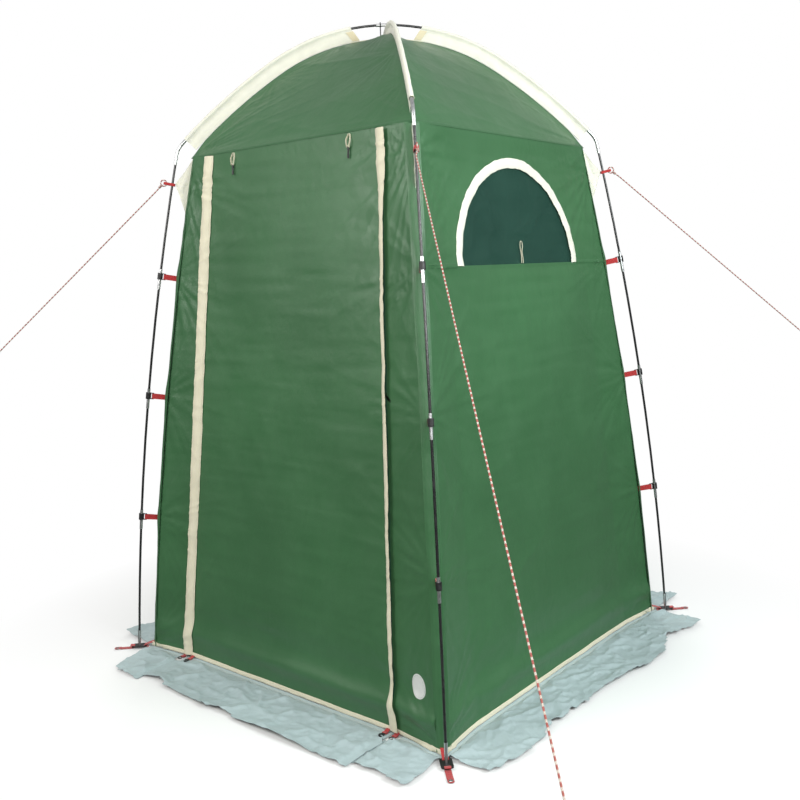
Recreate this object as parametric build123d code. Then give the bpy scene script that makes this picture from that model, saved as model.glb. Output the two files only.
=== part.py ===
from build123d import *
import os
from math import atan2, copysign, cos, degrees, radians, sin, sqrt

# A square privacy shower tent on two crossed, shock-corded fibreglass poles.
# Millimetres. Origin on the ground at the tent's centre, +Z up, the door faces -Y, the window faces +X.
# Corner parts are built in a corner frame first: X runs outwards along the diagonal, Y across it, Z up.
# Wall parts are built on the front wall first and then turned about Z.

# ---- driving dimensions -------------------------------------------------------------------------
PEAK_Z = 2105.0            # axis of the upper pole, b, where the poles cross
POLE_DROP = 14.0           # the lower pole, a, passes under it in its sleeve
CROWN_R, CROWN_ANGLE = 700.0, 33.0     # roof arcs bend most over the peak and run flatter to the elbows
ELBOW_Z = 1720.0           # bent ferrules between leg and roof
ELBOW_HALF = 503.0         # half the elbow spacing, along X and along Y
FOOT_HALF = 682.0          # half the foot spacing
LEG_BOW = 35.0             # how far a leg bends outwards at its middle
CLIP_Z = (477.0, 900.0, 1304.0)
GUY_Z = 1605.0             # guy-out point on each leg

ROD_R, ROD_BORE_R = 3.95, 1.6
CORD_R = 1.2
FERRULE_R, FERRULE_BORE_R, FERRULE_L = 5.0, 4.0, 68.0
ELBOW_R, ELBOW_ARM = 5.3, 50.0
ROD_GAP = 1.0              # between two rod ends inside a ferrule

WALL_Z0, WALL_Z1 = 8.0, 1690.0
CORNER_HALF = (653.0, 478.0)    # corner seams: half width at the hem and at the shoulder
CORNER_BOW = 19.0               # the clips pull the corner seams out by this at half height
CENTRE_HALF = (630.0, 478.0)    # the flat middle of a wall stands this far from the axis
DOOR_HALF = (460.0, 365.0)      # zip lines: half width at the hem and at the shoulder
SHEET = 2.0                     # thickness of every fabric solid
SEAM_GAP = 3.0

RIDGE_DROP = 45.0          # the roof's fabric hangs this far under the upper pole
SLEEVE_R, SLEEVE_WALL, FIN_T, FIN_GAP = 8.0, 1.4, 1.4, 0.2
SLEEVE_B_START = 120.0     # the upper pole is bare for this far from the crossing

ZIP_HALF, ZIP_GAP = 5.0, 0.4       # half width of a closed zip, and half the gap between its halves
FLAP_IN, FLAP_OUT, FLAP_OFF, FLAP_T = 16.0, 22.0, 7.0, 1.5
SLIDER_OFF, SLIDER_T, SLIDER_W, SLIDER_H = 1.5, 4.5, 9.0, 14.0
SLIDER_LEFT_Z, SLIDER_RIGHT_Z = 60.0, 952.0
PULL_L, PULL_W, PULL_T, PULL_HOLE_R = 26.0, 7.0, 1.6, 1.8
RIGHT_PULL_ANGLE = 45.0            # the right slider's pull lies out to the side

WINDOW_Z = 1285.0          # centre of the window arch, 15 mm under the seam that closes it
WINDOW_SILL, WINDOW_R, BINDING_W = 15.0, 340.0, 32.0

SKIRT_OUT, SKIRT_END, SKIRT_CLEAR = 843.0, 640.0, 4.0
SKIRT_Z, SKIRT_T = 0.5, 2.0
DOOR_SKIRT_CUT = 6.0               # the door's skirt ends this far inside the zip
RING_CUT = 32.0                    # the skirts beside it start this far outside, past the rings
HEM_H, HEM_NEAR, HEM_FAR = 14.0, 0.6, 2.4

CLIP_BAR = 15.0            # pole axis to the clip's webbing bar
CLIP_H, CLIP_WALL, CLIP_BORE = 22.0, 3.2, 5.6
WEB_W, WEB_T = 16.0, 1.4

GUY_ROPE_R = 2.0
PEG_R, PEG_L, PEG_UP = 3.0, 190.0, 27.0
STRAND = 7.1               # half the spacing of the two strands that pass the peg
DOUBLED = 420.0            # length of the doubled part of a guyline
TENSIONER_AT = 330.0
ROPE_Z = 12.0              # height of the cord at the peg
# compass direction of each corner, which pole stands there, where its guyline is pegged:
# horizontal run of the line and how far the peg stands off the diagonal
CORNERS = {
    "front_right": (-45.0, "a", 1750.0, 2.6),
    "back_right": (45.0, "b", 1900.0, 0.0),
    "back_left": (135.0, "a", 1800.0, 0.0),
    "front_left": (225.0, "b", 1735.0, 0.0),
}

# ---- pole paths, in the corner frame's XZ plane --------------------------------------------------
FOOT_R = FOOT_HALF * sqrt(2)
ELBOW_RAD = ELBOW_HALF * sqrt(2)
CHORD = sqrt((FOOT_R - ELBOW_RAD) ** 2 + ELBOW_Z**2)
LEG_RADIUS = (CHORD**2 / 4 + LEG_BOW**2) / (2 * LEG_BOW)
OUTWARD = (ELBOW_Z / CHORD, (FOOT_R - ELBOW_RAD) / CHORD)
LEG_CENTRE = (
    (FOOT_R + ELBOW_RAD) / 2 - OUTWARD[0] * (LEG_RADIUS - LEG_BOW),
    ELBOW_Z / 2 - OUTWARD[1] * (LEG_RADIUS - LEG_BOW),
)


def leg_r(z):
    """Radius of a leg's axis at height z."""
    return LEG_CENTRE[0] + sqrt(LEG_RADIUS**2 - (z - LEG_CENTRE[1]) ** 2)


def leg_lean(z):
    """Inward lean of a leg from vertical at height z, in degrees."""
    return degrees(atan2(z - LEG_CENTRE[1], leg_r(z) - LEG_CENTRE[0]))


def along_leg(z):
    """Frame on a leg at height z: X outwards, Y across the corner, Z up along the pole."""
    lean = radians(leg_lean(z))
    return Plane(origin=(leg_r(z), 0, z), x_dir=(cos(lean), 0, sin(lean)), z_dir=(-sin(lean), 0, cos(lean)))


def leg_edge(z0, z1):
    middle = (z0 + z1) / 2
    return ThreePointArc((leg_r(z0), 0, z0), (leg_r(middle), 0, middle), (leg_r(z1), 0, z1))


class Arch:
    """Arch in the corner frame's XZ plane: a crown arc over the peak and a flatter shoulder arc each side.

    Places on it are given as angles from straight up; inset moves them towards the inside."""

    def __init__(self, top, crown, end):
        self.turn = radians(CROWN_ANGLE)
        knee = (crown * sin(self.turn), top - crown + crown * cos(self.turn))
        run, fall = end[0] - knee[0], knee[1] - end[1]
        bend = atan2(fall, run) - self.turn
        shoulder = sqrt(run**2 + fall**2) / (2 * sin(bend))
        centre = (knee[0] - shoulder * sin(self.turn), knee[1] - shoulder * cos(self.turn))
        self.arcs = [((0.0, top - crown), crown), (centre, shoulder)]
        self.end = self.turn + 2 * bend
        self.length = crown * self.turn + shoulder * 2 * bend

    def angle(self, arc):
        """Angle at a distance along the arch from the peak, negative on its far side."""
        crown, shoulder = self.arcs[0][1], self.arcs[1][1]
        past = abs(arc) - crown * self.turn
        return copysign(abs(arc) / crown if past < 0 else self.turn + past / shoulder, arc)

    def point(self, angle, inset=0.0):
        (x, z), radius = self.arcs[1 if abs(angle) > self.turn else 0]
        return (copysign(x, x * angle) + (radius - inset) * sin(angle), 0, z + (radius - inset) * cos(angle))

    def edges(self, angle0, angle1, inset=0.0):
        """Arc edges between two angles, parted where the crown meets a shoulder."""
        low, high = sorted((angle0, angle1))
        knees = [knee for knee in (-self.turn, self.turn) if low < knee < high]
        stops = [angle0] + sorted(knees, reverse=angle0 > angle1) + [angle1]
        return [
            ThreePointArc(self.point(a, inset), self.point((a + b) / 2, inset), self.point(b, inset))
            for a, b in zip(stops, stops[1:])
        ]


ELBOW_AT = (ELBOW_RAD, ELBOW_Z)
POLE_ARCH = {
    "a": Arch(PEAK_Z - POLE_DROP, CROWN_R, ELBOW_AT),
    "b": Arch(PEAK_Z, CROWN_R, ELBOW_AT),
}
RIDGE_Z = PEAK_Z - RIDGE_DROP
RIDGE = Arch(RIDGE_Z, CROWN_R - RIDGE_DROP, (CORNER_HALF[1] * sqrt(2), WALL_Z1))


def roof_path(pole, arc0, arc1):
    """Stretch of a pole's roof arch between two distances from the crossing."""
    arch = POLE_ARCH[pole]
    return Wire(arch.edges(arch.angle(arc0), arch.angle(arc1)))


def roof_length(pole):
    return POLE_ARCH[pole].length


def elbow_edge(pole, reach=22.0):
    """Smooth bend that joins the leg arc to the roof arch."""
    low = leg_edge(ELBOW_Z - reach - 20, ELBOW_Z - reach)
    high = roof_path(pole, roof_length(pole) - reach, roof_length(pole) - reach - 20)
    a, b = low @ 1, high @ 0
    da, db = low % 1, high % 0
    cross = da.X * db.Z - da.Z * db.X
    step = ((b.X - a.X) * db.Z - (b.Z - a.Z) * db.X) / cross
    return Bezier(a, a + da * step, b)


BOTTOM = (Align.CENTER, Align.CENTER, Align.MIN)
TOP = (Align.CENTER, Align.CENTER, Align.MAX)


def tube(path, outer, inner=0.0):
    ring = Circle(outer) - Circle(inner) if inner else Circle(outer)
    return sweep(Plane(origin=path @ 0, z_dir=path % 0) * ring, path=path)


def turn(shape, azimuth):
    return shape.rotate(Axis.Z, azimuth)


def corner_copies(make, pole=None):
    """One copy of make(pole, corner name) at every corner, or at one pole's two corners."""
    found = []
    for name, (azimuth, owner, _, _) in CORNERS.items():
        if pole is None or pole == owner:
            found += turn(make(owner, name), azimuth).solids()
    return found


# ---- poles ---------------------------------------------------------------------------------------
TIP_TOP, TIP_PIN_TOP, TIP_PIN_R = 64.0, 18.0, 3.0
LEG_JOINTS = [z - 10 for z in CLIP_Z]


def half_rods(pole, _):
    """Rod sections of one leg and its half of the roof."""
    stops = [TIP_PIN_TOP + 4] + LEG_JOINTS + [ELBOW_Z - 25]
    rods = []
    for low, high in zip(stops, stops[1:]):
        edge = leg_edge(low + ROD_GAP / 2, high - ROD_GAP / 2)
        rods.append(tube(edge, ROD_R, ROD_BORE_R))
    length = roof_length(pole)
    for arc0, arc1 in ((ROD_GAP / 2, length / 2 - ROD_GAP / 2), (length / 2 + ROD_GAP / 2, length - 25)):
        rods.append(tube(roof_path(pole, arc0, arc1), ROD_R, ROD_BORE_R))
    return Compound(children=rods)


def half_ferrules(pole, _):
    reach = FERRULE_L / 2
    found = [tube(leg_edge(z - reach, z + reach), FERRULE_R, FERRULE_BORE_R) for z in LEG_JOINTS]
    middle = roof_length(pole) / 2
    found.append(tube(roof_path(pole, middle - reach, middle + reach), FERRULE_R, FERRULE_BORE_R))
    return Compound(children=found)


def peak_ferrule(pole):
    reach = FERRULE_L / 2
    azimuth = -45.0 if pole == "a" else 45.0
    return turn(tube(roof_path(pole, -reach, reach), FERRULE_R, FERRULE_BORE_R), azimuth)


def elbow(pole, _):
    length = roof_length(pole)
    path = [leg_edge(ELBOW_Z - ELBOW_ARM, ELBOW_Z - 22), elbow_edge(pole)]
    path += roof_path(pole, length - 22, length - ELBOW_ARM).edges()
    return tube(Wire(path), ELBOW_R, FERRULE_BORE_R)


def end_tip(_pole, _name):
    """Steel end cap with a pin that stands on the ground."""
    half = (TIP_TOP - TIP_PIN_TOP) / 2
    frame = along_leg(TIP_PIN_TOP + half)
    cap = Pos(0, 0, -half) * Cylinder(FERRULE_R, 2 * half, align=BOTTOM)
    socket = Pos(0, 0, -half + 3) * Cylinder(FERRULE_BORE_R, 2 * half, align=BOTTOM)
    pin = Pos(0, 0, -half) * Cylinder(TIP_PIN_R, TIP_PIN_TOP + 5, align=TOP)
    bore = Pos(0, 0, -half - 6) * Cylinder(ROD_BORE_R, 12, align=BOTTOM)
    ground = Pos(FOOT_R, 0, -25) * Box(100, 100, 50)
    return frame * (cap + pin - socket - bore) - ground


def shock_cord(pole):
    """Elastic cord through every section of one pole."""
    arch = POLE_ARCH[pole]
    half = [leg_edge(TIP_PIN_TOP, ELBOW_Z - 22), elbow_edge(pole)]
    half += arch.edges(arch.angle(arch.length - 22), 0.0)
    other = [edge.mirror(Plane.YZ) for edge in half]
    azimuth = -45.0 if pole == "a" else 45.0
    return turn(tube(Wire(half + other), CORD_R), azimuth)


# ---- corner hardware -----------------------------------------------------------------------------
def fabric_half(z):
    """Half width of the tent at the corner seams."""
    t = (z - WALL_Z0) / (WALL_Z1 - WALL_Z0)
    low, high = CORNER_HALF
    return low + (high - low) * t + CORNER_BOW * 4 * t * (1 - t)


def clip(z):
    """Open plastic hook round the pole, with a bar for the webbing on the tent's side."""
    body = Circle(CLIP_BORE + CLIP_WALL)
    slot = Pos(0, -(CLIP_BORE + CLIP_WALL)) * Rectangle(2 * CLIP_BORE - 2.4, 2 * (CLIP_BORE + CLIP_WALL))
    hook = extrude(body - Circle(CLIP_BORE) - slot, CLIP_H / 2, both=True)
    ear = Pos(-(CLIP_BAR + CLIP_BORE + 1) / 2 - 1, 0) * Box(CLIP_BAR - CLIP_BORE + 3, 6, 2.5)
    ears = [Pos(0, 0, side * (CLIP_H / 2 - 1.25)) * ear for side in (-1, 1)]
    bar = Pos(-CLIP_BAR, 0, 0) * Cylinder(2.0, CLIP_H)
    return along_leg(z) * (hook + ears + bar)


def band_loop(length, gap, height, thickness):
    """Closed webbing loop: a stadium ring of the given inner length and gap."""
    outer = SlotCenterToCenter(length, gap + 2 * thickness)
    inner = SlotCenterToCenter(length, gap)
    return extrude(outer - inner, height / 2, both=True)


def clip_strap(z):
    """Webbing loop from the corner seam round the clip's bar."""
    reach = leg_r(z) - CLIP_BAR - fabric_half(z) * sqrt(2) - 4
    loop = Pos(-CLIP_BAR - reach / 2, 0, 0) * band_loop(reach, 4.6, WEB_W, WEB_T)
    return along_leg(z) * loop


def clips(_pole, _name):
    return Compound(children=[clip(z) for z in CLIP_Z])


def clip_straps(_pole, _name):
    return Compound(children=[clip_strap(z) for z in CLIP_Z])


PLATE_Z, PLATE_T, PLATE_L, PLATE_W = 6.0, 3.0, 52.0, 34.0
SLOT_AT, SLOT_W = 17.0, 20.0


def foot_plate(_pole, _name):
    """Plastic plate that the pole's pin stands in, slotted for webbing on both sides."""
    outline = RectangleRounded(PLATE_L, PLATE_W, 9)
    slots = [Pos(side * SLOT_AT, 0) * Rectangle(4.6, SLOT_W) for side in (-1, 1)]
    plate = extrude(outline - Circle(TIP_PIN_R + 0.8) - slots[0] - slots[1], PLATE_T)
    return Pos(leg_r(PLATE_Z), 0, PLATE_Z) * plate


def ribbon(points, width):
    """Webbing that follows points in the corner frame's XZ plane."""
    line = Polyline(*[(x, 0, z) for x, z in points])
    return extrude(Plane.XZ * trace(Plane.XZ.to_local_coords(line), WEB_T), width / 2, both=True)


def foot_strap(_pole, _name):
    """Webbing from the hem's corner through the plate's inner slot."""
    r, seam = leg_r(PLATE_Z), CORNER_HALF[0] * sqrt(2)
    path = [(seam + 3, 12), (r - SLOT_AT, PLATE_Z + PLATE_T + 1.6), (r - SLOT_AT, PLATE_Z - 1.6),
            (r - SLOT_AT - 14, PLATE_Z - 1.6)]
    return ribbon(path, WEB_W + 2)


PEG_EYE = 60.0             # plate slot to the centre of the peg eyelet
EYELET_R = 5.0


def peg_tab(_pole, _name):
    """Webbing tab from the plate's outer slot, with a hole for the eyelet."""
    r = leg_r(PLATE_Z) + SLOT_AT
    top, low = PLATE_Z + PLATE_T + 1.6, 1.4
    path = [(r + 14, top), (r, top), (r, low), (r + PEG_EYE + 12, low)]
    hole = Pos(r + PEG_EYE, 0, 0) * Cylinder(EYELET_R + 1.4, 12)
    return ribbon(path, WEB_W + 2) - hole


def peg_eyelet(_pole, _name):
    """Metal eyelet for a ground peg."""
    r = leg_r(PLATE_Z) + SLOT_AT + PEG_EYE
    barrel = Circle(EYELET_R + 1.2) - Circle(EYELET_R)
    rim = Circle(EYELET_R + 3) - Circle(EYELET_R)
    top = Pos(0, 0, 2.3) * extrude(rim, 1.0)
    return Pos(r, 0, 0) * (extrude(barrel, 3.3) + top)


# ---- guy-out points, guylines and pegs -----------------------------------------------------------
LOOP_IN, LOOP_OUT, LOOP_GAP, LOOP_H = 8.8, 27.8, 10.6, 9.0
EYE_R = 10.0
JOIN_L, KNOT_R = 30.0, 4.2
CLEAT_L, CLEAT_W, CLEAT_T = 30.0, 13.0, 5.0
PEG_HOOK_R = 9.0


def guy_gusset(_pole, _name):
    """Triangle of fabric from the corner seam out to the pole."""
    tip = leg_r(GUY_Z) - LOOP_IN - WEB_T - 1.3
    seam = [(fabric_half(z) * sqrt(2) + 2, z) for z in (GUY_Z - 55, GUY_Z + 70)]
    outline = Polyline(seam[0], (tip, GUY_Z - 5), (tip, GUY_Z + 5), seam[1], close=True)
    return extrude(Plane.XZ * make_face(outline), FIN_T / 2, both=True)


def guy_loop(_pole, _name):
    """Webbing loop round the pole; the guyline's eye hangs in its outer end."""
    reach = LOOP_OUT + LOOP_IN - LOOP_GAP
    centre = (LOOP_OUT - LOOP_IN) / 2
    return along_leg(GUY_Z) * Pos(centre, 0, 0) * band_loop(reach, LOOP_GAP, LOOP_H, WEB_T)


def eye_centre():
    """Centre of the guyline's eye, which hangs in the outer end of the loop."""
    return along_leg(GUY_Z).from_local_coords(Vector(LOOP_OUT + WEB_T / 2, 0, 0))


def rope_frame(name):
    """Frame at a guyline's peg: Z along the peg, X up the line to the tent, Y across. Length of the line."""
    _, _, run, swing = CORNERS[name]
    start = eye_centre()
    foot = Vector(start.X + run * cos(radians(swing)), run * sin(radians(swing)), ROPE_Z)
    line = start - foot
    up = line.normalized()
    side = Vector(0, 0, 1).cross(up).normalized()
    return Plane(origin=foot, x_dir=up, z_dir=up.cross(side)), line.length - EYE_R


def guyline(_pole, name):
    """Cord from the guy loop to the peg, round it, and back up to a stopper knot."""
    frame, length = rope_frame(name)
    bend = Plane.XY * CenterArc((0, 0), STRAND, 90, 180)
    main = Line((0, STRAND), (length - JOIN_L, STRAND))
    join = Line((length - JOIN_L, STRAND), (length, 0))
    back = Line((0, -STRAND), (DOUBLED, -STRAND))
    cord = tube(main, GUY_ROPE_R) + tube(join, GUY_ROPE_R) + tube(bend, GUY_ROPE_R)
    cord = cord + tube(back, GUY_ROPE_R) + Pos(length - JOIN_L, STRAND, 0) * Sphere(GUY_ROPE_R)
    knot = Pos(DOUBLED, -STRAND, 0) * Sphere(KNOT_R)
    centre = eye_centre()
    eye = Pos(centre.X, 0, centre.Z) * Rot(90, 0, 0) * Torus(EYE_R, GUY_ROPE_R)
    return frame * (cord + knot) + eye


def tensioner(_pole, name):
    """Sliding cleat on the doubled part of a guyline."""
    frame, _ = rope_frame(name)
    plate = RectangleRounded(CLEAT_L, CLEAT_W, 4)
    holes = [Pos(side * STRAND, 0) * Circle(GUY_ROPE_R + 0.5) for side in (-1, 1)]
    body = extrude(plate - holes[0] - holes[1], CLEAT_T / 2, both=True)
    return frame * Pos(TENSIONER_AT, 0, 0) * Rot(0, 90, 0) * Rot(0, 0, 90) * body


def peg(_pole, name):
    """Round steel peg with a hooked head that faces away from the tent."""
    frame, _ = rope_frame(name)
    shaft = Line((0, 0, PEG_UP - PEG_L), (0, 0, PEG_UP))
    hook = Plane.XZ * CenterArc((-PEG_HOOK_R, PEG_UP), PEG_HOOK_R, 0, 180)
    tail = Line((-2 * PEG_HOOK_R, 0, PEG_UP), (-2 * PEG_HOOK_R, 0, PEG_UP - PEG_HOOK_R))
    body = tube(shaft, PEG_R) + tube(hook, PEG_R) + tube(tail, PEG_R)
    point = Pos(0, 0, PEG_UP - PEG_L - 8) * Cone(0.8, PEG_R, 16, align=BOTTOM)
    cut = Pos(0, 0, PEG_UP - PEG_L) * Cylinder(PEG_R + 1, 8, align=BOTTOM)
    return frame * ((body - cut) + point)


# ---- walls, built on the front wall --------------------------------------------------------------
def at(pair, z):
    """Value at height z of a dimension that runs straight from hem to shoulder."""
    t = (z - WALL_Z0) / (WALL_Z1 - WALL_Z0)
    return pair[0] + (pair[1] - pair[0]) * t


def wall_y(x, z, flat=False):
    """Outer surface of the front wall at x and height z."""
    middle, zip_x, corner = at(CENTRE_HALF, z), at(DOOR_HALF, z), fabric_half(z)
    if flat or abs(x) <= zip_x:
        return -middle
    return -(middle + (corner - middle) * (abs(x) - zip_x) / (corner - zip_x))


def band(xs_at, heights, near=-SHEET, far=0.0, flat=False):
    """Sheet between offsets near and far from the wall's outer surface, through xs_at(z) at each height."""
    sections = []
    for z in heights:
        xs = xs_at(z)
        outer = [(x, wall_y(x, z, flat) - far) for x in xs]
        inner = [(x, wall_y(x, z, flat) - near) for x in reversed(xs)]
        sections.append(Pos(0, 0, z) * make_face(Polyline(*outer, *inner, close=True)))
    return loft(sections, ruled=True)


THREE = (WALL_Z0, (WALL_Z0 + WALL_Z1) / 2, WALL_Z1)


def full_wall():
    def xs(z):
        zip_x, corner = at(DOOR_HALF, z), fabric_half(z) - SEAM_GAP
        return [-corner, -zip_x, zip_x, corner]
    return band(xs, THREE)


def front_strip():
    """Right-hand fabric strip between the door's zip and the corner seam."""
    return band(lambda z: [at(DOOR_HALF, z) + ZIP_HALF, fabric_half(z) - SEAM_GAP], THREE)


def door_panel():
    top = WALL_Z1 - 4
    return band(lambda z: [-at(DOOR_HALF, z) + ZIP_HALF, at(DOOR_HALF, z) - ZIP_HALF], (WALL_Z0, top))


def zip_tape(side):
    """Right-hand zip: side -1 is the half on the door, 1 the half on the wall."""
    near, far = ZIP_GAP * side, (ZIP_HALF - ZIP_GAP) * side
    top = WALL_Z1 - 4

    def edges(z):
        return sorted([at(DOOR_HALF, z) + near, at(DOOR_HALF, z) + far])

    return band(edges, (WALL_Z0, top), flat=True)


def zip_flap():
    """Right-hand storm flap, sewn to the door and lying over the zip."""
    top = WALL_Z1 - 6
    return band(lambda z: [at(DOOR_HALF, z) - FLAP_IN, at(DOOR_HALF, z) + FLAP_OUT], (WALL_Z0 + 2, top),
                near=FLAP_OFF, far=FLAP_OFF + FLAP_T, flat=True)


def mirrored(shape):
    return shape.mirror(Plane.YZ)


def zip_frame(z):
    """Frame on the right-hand zip line: X across, Y up the line, Z out of the wall."""
    low = Vector(DOOR_HALF[0], -CENTRE_HALF[0], WALL_Z0)
    high = Vector(DOOR_HALF[1], -CENTRE_HALF[1], WALL_Z1)
    up = (high - low).normalized()
    out = Vector(1, 0, 0).cross(up).normalized()
    origin = Vector(at(DOOR_HALF, z), -at(CENTRE_HALF, z), z)
    return Plane(origin=origin, x_dir=up.cross(out), z_dir=out)


def zip_slider(z, pull_angle):
    """Slider body with its pull tab, which hangs from the slider at an angle from straight down."""
    body = extrude(RectangleRounded(SLIDER_W, SLIDER_H, 2), SLIDER_T)
    tab = Pos(0, -PULL_L / 2 - 2) * SlotOverall(PULL_L, PULL_W, rotation=90)
    hole = Pos(0, -PULL_L + PULL_HOLE_R) * Circle(PULL_HOLE_R)
    pull = Rot(0, 0, pull_angle) * Pos(0, 0, SLIDER_T - PULL_T - 0.1) * extrude(tab - hole, PULL_T)
    return zip_frame(z) * Pos(0, 0, SLIDER_OFF) * (body + pull)


# ---- door closures, toggles ----------------------------------------------------------------------
CLOSURE_Z = 5.5
TAB_Y, TAB_L, TAB_W, TAB_T = -CENTRE_HALF[0] - 6.0, 15.0, 14.0, 2.4
HOOK_X, RING_X = DOOR_HALF[0] - 20.0, DOOR_HALF[0] + 16.0
HOOK_R, HOOK_BAR, HOOK_T = 8.0, 3.5, 3.0
CLOSURE_RING_R, CLOSURE_WIRE_R = 7.0, 1.6
CLOSURE_GAP = 2.4          # room for a hook or ring to swing up at its tab's end


def closure_tab(x):
    """Webbing tab under the hem that holds a hook or a ring."""
    return Pos(x, TAB_Y - TAB_L / 2, CLOSURE_Z) * Box(TAB_W, TAB_L, TAB_T)


def closure_hook():
    """Right-hand plastic hook at the end of its tab, open towards its ring."""
    stem = Pos(0, -CLOSURE_GAP - 2.5) * Rectangle(10, 5)
    ring = Circle(HOOK_R) - Circle(HOOK_R - HOOK_BAR) - Pos(6, -2) * Rectangle(10, 6)
    bend = Pos(0, -CLOSURE_GAP - 11.5) * ring
    return Pos(HOOK_X, TAB_Y - TAB_L, CLOSURE_Z) * extrude(stem + bend, HOOK_T / 2, both=True)


def closure_ring():
    """Right-hand plastic ring at the end of its tab."""
    y = TAB_Y - TAB_L - CLOSURE_GAP - CLOSURE_RING_R - CLOSURE_WIRE_R
    return Pos(RING_X, y, CLOSURE_Z) * Torus(CLOSURE_RING_R, CLOSURE_WIRE_R)


TOGGLE_X, TOGGLE_TOP, TOGGLE_L, TOGGLE_R = 250.0, 1672.0, 34.0, 3.0
TOGGLE_OFF = 4.4           # the toggles hang this far outside the door
TOGGLE_LOOP_L, TOGGLE_DROP = 26.0, 23.4


def toggle_loop(x):
    """Folded webbing that a door toggle hangs on."""
    return panel_plane(TOGGLE_TOP) * Pos(x, 7 - TOGGLE_LOOP_L / 2, TOGGLE_OFF) * Box(9, TOGGLE_LOOP_L, 3)


def toggle(x):
    """Bar with a waist round its middle."""
    waist = Cylinder(TOGGLE_R + 1, 9) - Cylinder(TOGGLE_R - 0.7, 9)
    place = Pos(x, -TOGGLE_DROP - TOGGLE_L / 2, TOGGLE_OFF) * Rot(90, 0, 0)
    return panel_plane(TOGGLE_TOP) * place * (Cylinder(TOGGLE_R, TOGGLE_L) - waist)


# ---- window, in the plane of the wall's flat middle ----------------------------------------------
def panel_plane(z):
    """Frame in the front wall's flat middle: X along the wall, Y up it, Z outwards."""
    slope = (CENTRE_HALF[0] - CENTRE_HALF[1]) / (WALL_Z1 - WALL_Z0)
    return Plane(origin=(0, -at(CENTRE_HALF, z), z), x_dir=(1, 0, 0), z_dir=(0, -1, slope))


def arch(radius):
    """Window outline of a given radius, closed along the seam."""
    above = Pos(0, WINDOW_SILL + radius / 2) * Rectangle(2.2 * radius, radius)
    return Circle(radius) & above


OPENING_R = WINDOW_R - BINDING_W


def window_cut():
    return panel_plane(WINDOW_Z) * extrude(arch(OPENING_R), 12, both=True)


def window_sheet(outline, near, far):
    return panel_plane(WINDOW_Z) * Pos(0, 0, near) * extrude(outline, far - near)


def window_slider():
    """Slider on the inside of the arch's zip, near the sill, with its pull hanging down."""
    track = OPENING_R + 15
    body = extrude(Pos(track, 0) * Rectangle(SLIDER_W, 12), 4)
    pull = Pos(0, 0, 1.2) * extrude(Pos(track, -14) * Rectangle(PULL_W - 1, 17), PULL_T)
    return panel_plane(WINDOW_Z) * Pos(0, 0, -13.5) * Rot(0, 0, 12) * (body + pull)


def window_loop():
    """Cord loop at the sill that ties the rolled flap."""
    foot, head = WINDOW_SILL + 2, WINDOW_SILL + 57
    line = Polyline((-5, foot), (-6, head - 2), (4, head + 3), (5, foot))
    return panel_plane(WINDOW_Z) * Pos(0, 0, 2) * extrude(trace(line, 2.4), 2.4)


# ---- hem and skirts ------------------------------------------------------------------------------
def hem_tape(xs_at):
    return band(xs_at, (WALL_Z0 - 2, WALL_Z0 - 2 + HEM_H), near=HEM_NEAR, far=HEM_FAR)


def skirt(x0, x1, hem_half):
    """Mud flap that lies on the ground, from the hem out; x0 and x1 are its ends along the wall."""
    width = SKIRT_OUT - hem_half - SKIRT_CLEAR
    return Pos((x0 + x1) / 2, -SKIRT_OUT + width / 2, SKIRT_Z) * Box(x1 - x0, width, SKIRT_T, align=BOTTOM)


# ---- roof ----------------------------------------------------------------------------------------
RIDGE_GAP = 1.5


def roof_gore():
    """Front quarter of the roof: an arched sheet between two diagonal ridges."""
    outer, inner = [], []
    for step in range(25):
        angle = RIDGE.end * step / 24
        r, _, z = RIDGE.point(angle)
        normal = Vector(sin(angle), cos(angle) / sqrt(2)).normalized() * SHEET
        outer.append((-r / sqrt(2), z))
        inner.append((-r / sqrt(2) + normal.X, z - normal.Y))
    inner[0] = (0.0, RIDGE_Z - SHEET)
    ends = [Line(outer[0], inner[0]), Line(outer[-1], inner[-1])]
    profile = make_face([Spline(*outer), Spline(*inner)] + ends)
    sheet = extrude(Plane.YZ * profile, 600, both=True)
    wedge = Polyline((0, -RIDGE_GAP), (600, -600 - RIDGE_GAP), (-600, -600 - RIDGE_GAP), close=True)
    keep = Pos(0, 0, WALL_Z1 + 2) * extrude(make_face(wedge), RIDGE_Z)
    return sheet & keep


def sleeve(pole, arc0, arc1):
    """Pole sleeve: a loose tube on the pole, and the fin sewn along it that joins it to the roof ridge."""
    arch = POLE_ARCH[pole]
    channel = tube(roof_path(pole, arc0, arc1), SLEEVE_R, SLEEVE_R - SLEEVE_WALL)
    ends = arch.angle(arc0), arch.angle(arc1)
    inset = SLEEVE_R + FIN_GAP
    rim = arch.edges(*ends, inset) + RIDGE.edges(*ends, -1.0)
    rim += [Line(arch.point(angle, inset), RIDGE.point(angle, -1.0)) for angle in ends]
    return [channel, extrude(make_face(rim), FIN_T / 2, both=True)]


def sleeve_a():
    """Runs from elbow to elbow, under the other pole at the crossing."""
    end = roof_length("a") - 40
    return [turn(part, -45) for part in sleeve("a", -end, end)]


def sleeve_b():
    parts = sleeve("b", SLEEVE_B_START, roof_length("b") - 40)
    return [turn(part, azimuth) for azimuth in (45, 225) for part in parts]


def peak_hook():
    """Hook on the roof's peak that hangs the fabric from the upper pole."""
    ring = Pos(20, 0, PEAK_Z) * Rot(0, 90, 0) * Torus(7.6, 1.6)
    foot = RIDGE_Z + 1.2
    stem = Pos(20, 0, foot) * Cylinder(1.8, PEAK_Z - 7.6 - foot, align=BOTTOM)
    pad = Pos(20, 0, foot) * Box(14, 10, 1.6, align=BOTTOM)
    return turn(ring + stem + pad, 225)


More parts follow.
